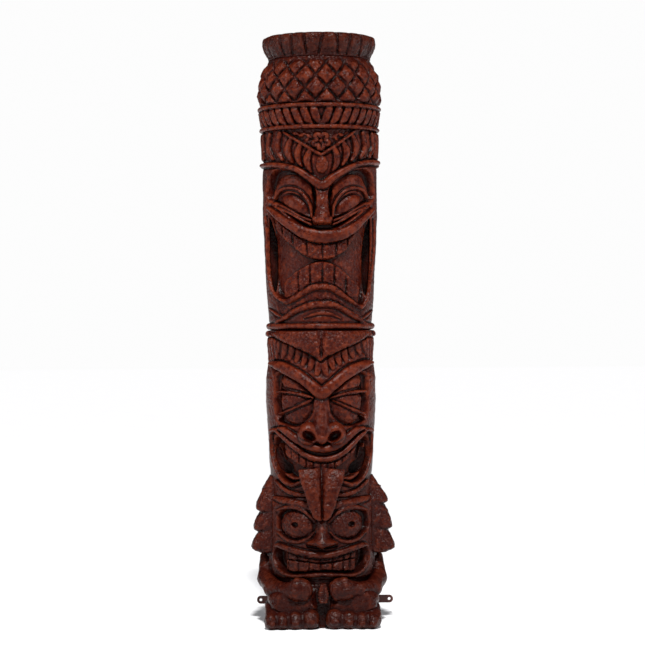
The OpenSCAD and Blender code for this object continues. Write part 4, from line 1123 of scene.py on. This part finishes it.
class Nodes:
    """A material's node tree, written as a chain of short calls."""

    def __init__(self, name):
        self.material = bpy.data.materials.new(name)
        self.material.use_nodes = True
        self.tree = self.material.node_tree
        self.shader = self.tree.nodes["Principled BSDF"]
        self.place = self.add("ShaderNodeTexCoord").outputs["Object"]

    def add(self, kind, inputs=(), **settings):
        node = self.tree.nodes.new(kind)
        for key, value in settings.items():
            setattr(node, key, value)
        for key, value in dict(inputs).items():
            if isinstance(value, bpy.types.NodeSocket):
                self.tree.links.new(value, node.inputs[key])
            else:
                node.inputs[key].default_value = value
        return node

    def noise(self, scale, detail=3.0, rough=0.55):
        sockets = {"Vector": self.place, "Scale": scale, "Detail": detail, "Roughness": rough}
        return self.add("ShaderNodeTexNoise", sockets).outputs["Fac"]

    def ramp(self, value, low, high, to_low=0.0, to_high=1.0):
        sockets = {"Value": value, "From Min": low, "From Max": high, "To Min": to_low, "To Max": to_high}
        return self.add("ShaderNodeMapRange", sockets).outputs["Result"]

    def math(self, operation, a, b):
        return self.add("ShaderNodeMath", {0: a, 1: b}, operation=operation).outputs[0]

    def times(self, a, b):
        return self.math("MULTIPLY", a, b)

    def mix(self, share, a, b):
        a, b = (c if isinstance(c, bpy.types.NodeSocket) else (*c, 1) for c in (a, b))
        return self.add("ShaderNodeMix", {0: share, 6: a, 7: b}, data_type="RGBA").outputs[2]

    def fact(self, name):
        return self.add("ShaderNodeAttribute", attribute_name=name).outputs["Fac"]

    def finish(self, colour, roughness, height, strength, distance, **constants):
        bump = self.add("ShaderNodeBump", {"Height": height, "Strength": strength, "Distance": distance})
        self.tree.links.new(bump.outputs["Normal"], self.shader.inputs["Normal"])
        self.tree.links.new(colour, self.shader.inputs["Base Color"])
        self.tree.links.new(roughness, self.shader.inputs["Roughness"])
        for key, value in constants.items():
            self.shader.inputs[key.replace("_", " ")].default_value = value
        return self.material


STAIN = (0.0215, 0.0014, 0.0006), (0.0370, 0.0030, 0.0011)
BARE, WORN = (0.060, 0.0074, 0.0028), (0.130, 0.0205, 0.0066)
# The first darkens hollows, as stain that gathers in them and as painted shade. The second is painted shade
# towards the ground. The third darkens the top of the rim.
HOLLOW_STAIN_AND_SHADE, PAINTED_SHADE_LOW, AT_RIM = (0.0050, 0.0009, 0.0006), (0.008, 0.0012, 0.0008), (0.010, 0.0014, 0.0008)


def carved_resin():
    n = Nodes("carved_resin")
    broad, spots, grain = n.noise(9, 4), n.noise(60, 4, 0.65), n.noise(420, 3, 0.6)
    base = n.mix(n.ramp(broad, 0.3, 0.7), *STAIN)
    base = n.mix(n.ramp(spots, 0.35, 0.75, 0, 0.5), base, BARE)
    worn = n.times(n.ramp(n.fact("near"), 0.46, 0.32), n.ramp(spots, 0.35, 0.60))
    colour = n.mix(n.times(worn, 0.85), base, WORN)
    # Painted shade in hollows, with the stain that gathers there: the more solid lies round a point, the
    # darker it is.
    close = n.ramp(n.fact("near"), 0.52, 0.66)
    deep = n.ramp(n.fact("around"), 0.56, 0.76)
    wide = n.ramp(n.fact("far"), 0.52, 0.78, 0.0, 0.95)
    line = n.times(n.fact("cut"), 0.85)
    stain_and_shade = n.math("MAXIMUM", n.math("MAXIMUM", close, deep), n.math("MAXIMUM", wide, line))
    stain_and_shade = n.times(stain_and_shade, n.ramp(spots, 0.2, 0.55, 0.8, 1.0))
    colour = n.mix(stain_and_shade, colour, HOLLOW_STAIN_AND_SHADE)
    height = n.add("ShaderNodeSeparateXYZ", {0: n.place}).outputs["Z"]
    # Painted shade: darker towards the ground, where less light reaches.
    colour = n.mix(n.ramp(height, 0.0, 0.8, 0.70, 0.0), colour, PAINTED_SHADE_LOW)
    colour = n.mix(n.ramp(height, 1.71, 1.76, 0.0, 0.55), colour, AT_RIM)
    roughness = n.ramp(spots, 0.25, 0.8, 0.22, 0.38)
    gouges = n.add("ShaderNodeTexVoronoi", {"Vector": n.place, "Scale": 125}).outputs["Distance"]
    gouges = n.times(gouges, n.ramp(n.fact("rough"), 0.2, 1.0, 0.15, 1.0))
    bumps = n.math("ADD", n.times(grain, 0.2), n.times(spots, 0.4))
    bumps = n.math("ADD", bumps, gouges)
    return n.finish(colour, roughness, bumps, 1.0, 0.0030, Specular_IOR_Level=0.11)


def plain_wood():
    n = Nodes("plywood")
    stretched = n.add("ShaderNodeMapping", {"Vector": n.place, "Scale": (14, 14, 220)}).outputs[0]
    layers = n.add("ShaderNodeTexNoise", {"Vector": stretched, "Scale": 3, "Detail": 4}).outputs["Fac"]
    colour = n.mix(n.ramp(layers, 0.3, 0.7), (0.30, 0.17, 0.08), (0.50, 0.33, 0.18))
    return n.finish(colour, n.ramp(layers, 0, 1, 0.55, 0.75), layers, 0.3, 0.001)


def metal(name, colour, worn, rough, metallic):
    n = Nodes(name)
    fine = n.noise(160, 5, 0.65)
    tint = n.mix(n.ramp(fine, 0.45, 0.75), colour, worn)
    return n.finish(tint, n.ramp(fine, 0.2, 0.8, rough - 0.1, rough + 0.12), n.noise(700, 2), 0.25, 0.0006,
                    Metallic=metallic)


def dress_frame(resin):
    """Gives the CAD nodes that stay in view their materials."""
    wood = plain_wood()
    steel = metal("brushed_steel", (0.42, 0.42, 0.43), (0.30, 0.29, 0.28), 0.34, 1.0)
    paint = metal("painted_bar", (0.060, 0.012, 0.008), (0.10, 0.026, 0.016), 0.5, 0.0)
    finishes = {"resin": resin, "plywood": wood, "dowel": wood, "steel": steel, "painted": paint}
    for node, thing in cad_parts.items():
        name = material_of(node)
        thing.data.materials.clear()
        thing.data.materials.append(finishes[name])


def material_of(node):
    if node.endswith("_disc") or node == "base_board":
        return "plywood"
    if node.endswith(("_dowels", "_dowel")):
        return "dowel"
    if node == "wall_bar":
        return "painted"
    if node.endswith(("_screws", "_bolts", "_rod", "_nut", "_washer", "_flange")):
        return "steel"
    return "resin"


# ---------------- camera, floor and lights


def camera():
    data = bpy.data.cameras.new("camera")
    data.sensor_width, data.lens = 36.0, 122.8
    data.shift_x, data.shift_y = 0.0031, 0.0039
    thing = put_in_scene("camera", data)
    away, round_to, height = 6.91, math.radians(-2.0), 0.93
    thing.location = (math.sin(round_to) * away, -math.cos(round_to) * away, height)
    turn = Matrix.Rotation(round_to, 4, "Z") @ Matrix.Rotation(math.pi / 2, 4, "X")
    thing.rotation_euler = (turn @ Matrix.Rotation(math.radians(-0.3), 4, "Z")).to_euler()
    bpy.context.scene.camera = thing


def area_light(name, place, aim, size, power):
    data = bpy.data.lights.new(name, "AREA")
    data.shape, data.size, data.energy = "DISK", size, power
    thing = put_in_scene(name, data)
    thing.location = place
    thing.rotation_euler = (Vector(aim) - Vector(place)).to_track_quat("-Z", "Y").to_euler()


def floor():
    mesh = bpy.data.meshes.new("floor")
    wide = 40.0
    mesh.from_pydata([(-wide, -wide, 0), (wide, -wide, 0), (wide, wide, 0), (-wide, wide, 0)], [],
                     [(0, 1, 2, 3)])
    thing = put_in_scene("floor", mesh)
    n = Nodes("pale_floor")
    tone = n.noise(3, 2)
    thing.data.materials.append(n.finish(n.mix(tone, (0.91, 0.92, 0.95), (0.93, 0.94, 0.97)),
                                         n.ramp(tone, 0, 1, 0.85, 0.9), tone, 0.05, 0.001))


def sun(name, azimuth, elevation, strength, spread, colour):
    """A soft distant light from an azimuth, where 0 is the front, and a height above the horizon."""
    data = bpy.data.lights.new(name, "SUN")
    data.energy, data.angle, data.color = strength, math.radians(spread), colour
    thing = put_in_scene(name, data)
    a, e = math.radians(azimuth), math.radians(elevation)
    towards = Vector((math.sin(a) * math.cos(e), -math.cos(a) * math.cos(e), math.sin(e)))
    thing.rotation_euler = towards.to_track_quat("Z", "Y").to_euler()


def studio():
    world = bpy.data.worlds.new("studio")
    world.use_nodes = True
    tree = world.node_tree
    back = tree.nodes["Background"]
    back.inputs["Color"].default_value = (1, 1, 1, 1)
    seen = tree.nodes.new("ShaderNodeLightPath").outputs["Is Camera Ray"]
    level = tree.nodes.new("ShaderNodeMapRange")
    lit_by, seen_as = 0.09, 0.98  # the world's strength as a light, and as a backdrop
    level.inputs["To Min"].default_value, level.inputs["To Max"].default_value = lit_by, seen_as
    tree.links.new(seen, level.inputs["Value"])
    tree.links.new(level.outputs["Result"], back.inputs["Strength"])
    bpy.context.scene.world = world
    sun("key", 0, 52, 4.25, 5, (1.0, 0.985, 0.96))
    area_light("left", (-2.6, -1.4, 1.9), (0, 0, 1.2), 1.5, 38)
    area_light("right", (2.6, -1.2, 1.7), (0, 0, 1.0), 1.5, 32)


camera()
floor()
studio()
RESIN = carved_resin()
carved_pieces(RESIN)
dress_frame(RESIN)
bpy.context.scene.view_settings.view_transform = "Standard"
